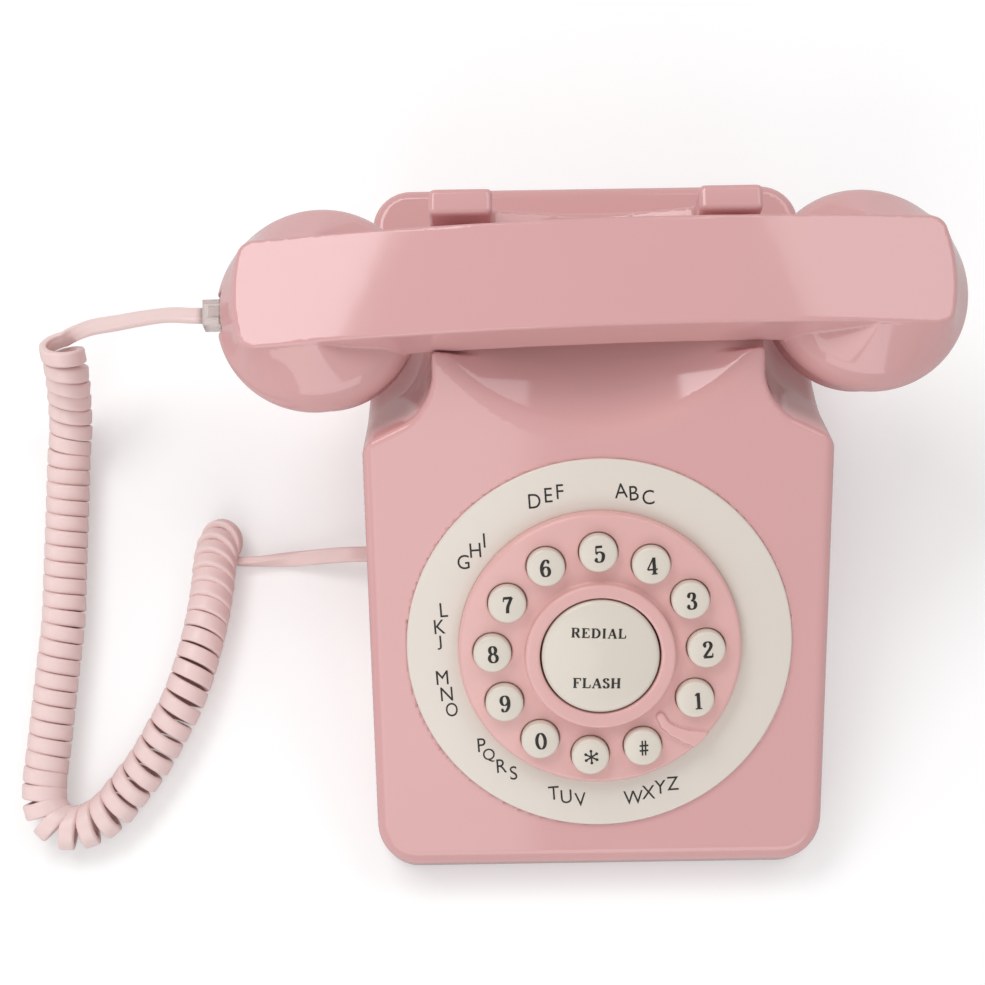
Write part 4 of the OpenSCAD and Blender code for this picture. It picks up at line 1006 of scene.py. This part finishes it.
# %% Glyphs
THICK, THIN = 0.095, 0.035
# A glyph is its width and its strokes. A stroke is (half width, x, y, x, y), ("c", points
# of a curve), ("o", middle, radii) or ("b", middle, radius).
SPOKES = [(math.cos(a), math.sin(a)) for a in np.radians(range(30, 390, 60))]
SIX = [("c", .50, .84, .42, .95, .28, .93, .13, .70, .09, .38, .16, .10, .31, .02, .46, .10,
        .52, .30, .46, .50, .33, .57, .18, .50, .11, .38), ("b", .49, .82, .07)]
STEM, TOP_ARM = (THICK, .18, .02, .18, .98), (THIN, .02, .97, .62, .97)
MIDDLE_ARM = [(THIN, .18, .52, .42, .52), (THIN, .43, .4, .43, .64)]
GLYPHS = {
    "0": (.62, [("o", .31, .5, .24, .47)]),
    "1": (.5, [(THICK, .27, .02, .27, .98), (THIN, .08, .02, .46, .02),
               (.05, .25, .93, .09, .83)]),
    "2": (.6, [("c", .12, .74, .16, .90, .30, .97, .44, .92, .50, .76, .44, .58, .28, .36,
                .08, .08), (.07, .06, .07, .54, .07), (THIN, .56, .03, .57, .27),
               ("b", .15, .73, .085)]),
    "3": (.6, [("c", .12, .76, .18, .92, .30, .97, .43, .90, .45, .74, .38, .58, .26, .53),
               ("c", .26, .53, .42, .47, .50, .28, .43, .08, .28, .02, .14, .07, .08, .22),
               ("b", .14, .76, .08), ("b", .11, .22, .08)]),
    "4": (.64, [(THICK, .42, .02, .42, .98), (.04, .40, .97, .04, .30),
                (.045, .03, .29, .60, .29), (THIN, .26, .02, .58, .02)]),
    "5": (.6, [(.07, .13, .91, .48, .91), (THIN, .13, .95, .11, .52),
               ("c", .11, .50, .22, .60, .36, .60, .50, .48, .50, .26, .40, .06, .24, .02,
                .12, .08, .08, .20), ("b", .11, .20, .08)]),
    "6": (.6, SIX),
    "7": (.6, [(.075, .06, .91, .54, .91), (THIN, .07, .90, .06, .70),
               ("c", .54, .93, .40, .66, .28, .38, .25, .10, .25, .02)]),
    "8": (.62, [("o", .31, .75, .17, .22), ("o", .31, .27, .22, .25)]),
    "star": (.62, [(.045, .31, .5, .31 + .34 * x, .5 + .34 * y) for x, y in SPOKES]
             + [("b", .31 + .36 * x, .5 + .36 * y, .085) for x, y in SPOKES]),
    "hash": (.62, [(.045, .20, .05, .24, .95), (.045, .38, .05, .42, .95),
                   (.05, .05, .35, .55, .35), (.05, .07, .65, .57, .65)]),
    "A": (.8, [(.04, .10, .02, .40, .99), (THICK, .40, .99, .68, .02),
               (THIN, .20, .33, .58, .33), (THIN, 0, .02, .22, .02),
               (THIN, .52, .02, .82, .02)]),
    "D": (.82, [STEM, ("c", .18, .97, .45, .95, .66, .75, .71, .5, .66, .25, .45, .05, .18, .03),
                (THIN, .02, .97, .3, .97), (THIN, .02, .03, .3, .03)]),
    "E": (.72, [STEM, TOP_ARM, (THIN, .62, .98, .63, .76), *MIDDLE_ARM,
                (THIN, .02, .03, .64, .03), (.045, .64, .02, .67, .26)]),
    "F": (.68, [STEM, TOP_ARM, (.045, .62, .98, .63, .74), *MIDDLE_ARM,
                (THIN, .04, .02, .34, .02)]),
    "H": (.86, [STEM, (THICK, .66, .02, .66, .98), (THIN, .18, .5, .66, .5),
                (THIN, .04, .02, .32, .02), (THIN, .04, .98, .32, .98),
                (THIN, .52, .02, .8, .02), (THIN, .52, .98, .8, .98)]),
    "I": (.38, [(THICK, .19, .02, .19, .98), (THIN, .05, .02, .33, .02),
                (THIN, .05, .98, .33, .98)]),
    "L": (.7, [STEM, (THIN, .04, .98, .34, .98), (THIN, .02, .03, .62, .03),
               (.045, .63, .02, .66, .32)]),
    "R": (.8, [STEM, (THIN, .04, .02, .32, .02), (THIN, .02, .97, .3, .97),
               ("c", .18, .97, .45, .97, .60, .88, .60, .62, .45, .52, .20, .51),
               (THICK, .42, .51, .66, .06), (THIN, .60, .02, .80, .02)]),
    "S": (.56, [("c", .44, .78, .40, .93, .27, .98, .14, .92, .10, .76, .18, .62, .34, .50,
                 .46, .38, .47, .20, .40, .06, .27, .02, .14, .06, .08, .24)]),
}
# A nine is a six turned half round, so its curve's points are taken from (.6, 1).
nine_curve = tuple(.6 - v if k % 2 else 1 - v for k, v in enumerate(SIX[0][1:], 1))
GLYPHS["9"] = (.6, [("c",) + nine_curve, ("b", .11, .18, .07)])
print("glyphs:", "".join(g for g in GLYPHS if len(g) == 1), "star hash")

# %% [markdown]
# A stroke's ribbon has four long sides: the ink's face, its root inside the plastic,
# and two edges. Strokes that cross lie two thousandths of a millimetre apart, so that
# no two faces share one place.

# %% Digits and words
LAYER = 0.002


def directions(line, closed):
    if closed:
        return np.roll(line, -1, axis=0) - np.roll(line, 1, axis=0)
    return np.gradient(line, axis=0)


def stroke_line(stroke):
    """Middle line, half width along it, and whether it closes."""
    kind, numbers = stroke[0], stroke[1:]
    if kind == "b":
        x, y, radius = numbers
        dx = np.linspace(-0.97, 0.97, 9) * radius
        return np.column_stack([x + dx, np.full(9, y)]), np.sqrt(radius ** 2 - dx ** 2), False
    if kind == "o":
        x, y, radius_x, radius_y = numbers
        a = np.linspace(0, 2 * math.pi, 32, endpoint=False)
        line = np.column_stack([x + radius_x * np.cos(a), y + radius_y * np.sin(a)])
    elif kind == "c":
        line = smooth_line(np.array(numbers).reshape(-1, 2), 0.05)
    else:
        return np.linspace(numbers[:2], numbers[2:], 6), np.full(6, kind), False
    ahead = directions(line, kind == "o")
    upright = np.abs(ahead[:, 1]) / np.linalg.norm(ahead, axis=1)
    return line, THIN + (THICK - THIN) * upright ** 1.5, kind == "o"


def inked(strokes, cap, corner, turn, height, widen=1.0, bold=1.0):
    """One glyph as thin closed ribbons; corner is the left end of its baseline."""
    ribbons = []
    for layer, stroke in enumerate(strokes):
        line, half, closed = stroke_line(stroke)
        line, half = line * (widen, 1), half * bold
        ahead = directions(line, closed)
        left = unit(np.column_stack([-ahead[:, 1], ahead[:, 0]])) * half[:, None]
        sides = [(left, FILM), (left, -BITE), (-left, -BITE), (-left, FILM)]
        ring = [np.column_stack([(line + aside) * cap, np.full(len(line), h + LAYER * layer)])
                for aside, h in sides]
        points = laid(np.stack(ring, axis=1).reshape(-1, 3), corner, turn, height)
        n, faces = len(line), []
        for i in range(n if closed else n - 1):
            a, b = i * 4, (i + 1) % n * 4
            faces += [(a + k, b + k, b + (k + 1) % 4, a + (k + 1) % 4) for k in range(4)]
        if not closed:
            faces += [(0, 1, 2, 3), tuple((n - 1) * 4 + k for k in (3, 2, 1, 0))]
        ribbons.append((points, faces))
    return joined(ribbons)


DIGIT_CAP, DIGIT_TURN = 5.1, math.radians(4)
DIGIT_SHIFT, USUAL_SHIFT = {"1": (0.7, -0.1), "6": (-0.2, 0.2)}, (0.2, 0.2)
c, s = math.cos(DIGIT_TURN), math.sin(DIGIT_TURN)
for name in KEY_ORDER:
    ku, kv = key_places[name]
    width, strokes = GLYPHS[name]
    shift = DIGIT_SHIFT.get(name, USUAL_SHIFT)
    x, y = -width / 2 * DIGIT_CAP, -DIGIT_CAP / 2
    corner = (ku + shift[0] + x * c - y * s, kv + shift[1] + x * s + y * c)
    points, faces = inked(strokes, DIGIT_CAP, corner, DIGIT_TURN,
                          lambda u, v: key_crown(np.hypot(u - ku, v - kv)))
    digit = mesh_object("key_print_" + name, points, faces, pad_ink, smooth=False)
    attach(digit, "key_" + name)

WIDEN, BOLD = 1.17, 1.25
# word: (left end of the baseline, right end, cap height)
WORDS = {"REDIAL": ((-8.6, 5.85), (7.2, 5.25), 2.8), "FLASH": ((-8.2, -9.55), (5.75, -9.85), 3.0)}
glyphs = []
for word, (first, last, cap) in WORDS.items():
    run = np.array(last) - first
    widths = [GLYPHS[letter][0] * cap * WIDEN for letter in word]
    gap = (np.linalg.norm(run) - sum(widths)) / (len(word) - 1)
    for k, letter in enumerate(word):
        corner = first + run / np.linalg.norm(run) * (sum(widths[:k]) + gap * k)
        glyphs.append(inked(GLYPHS[letter][1], cap, corner, math.atan2(run[1], run[0]),
                            lambda u, v: rocker_dome(np.hypot(u, v - ROCKER_SHIFT)), WIDEN, BOLD))
words = mesh_object("rocker_print", *joined(glyphs), pad_ink, smooth=False)
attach(words, "rocker")
print("printed digits:", len(KEY_ORDER), "words:", list(WORDS))
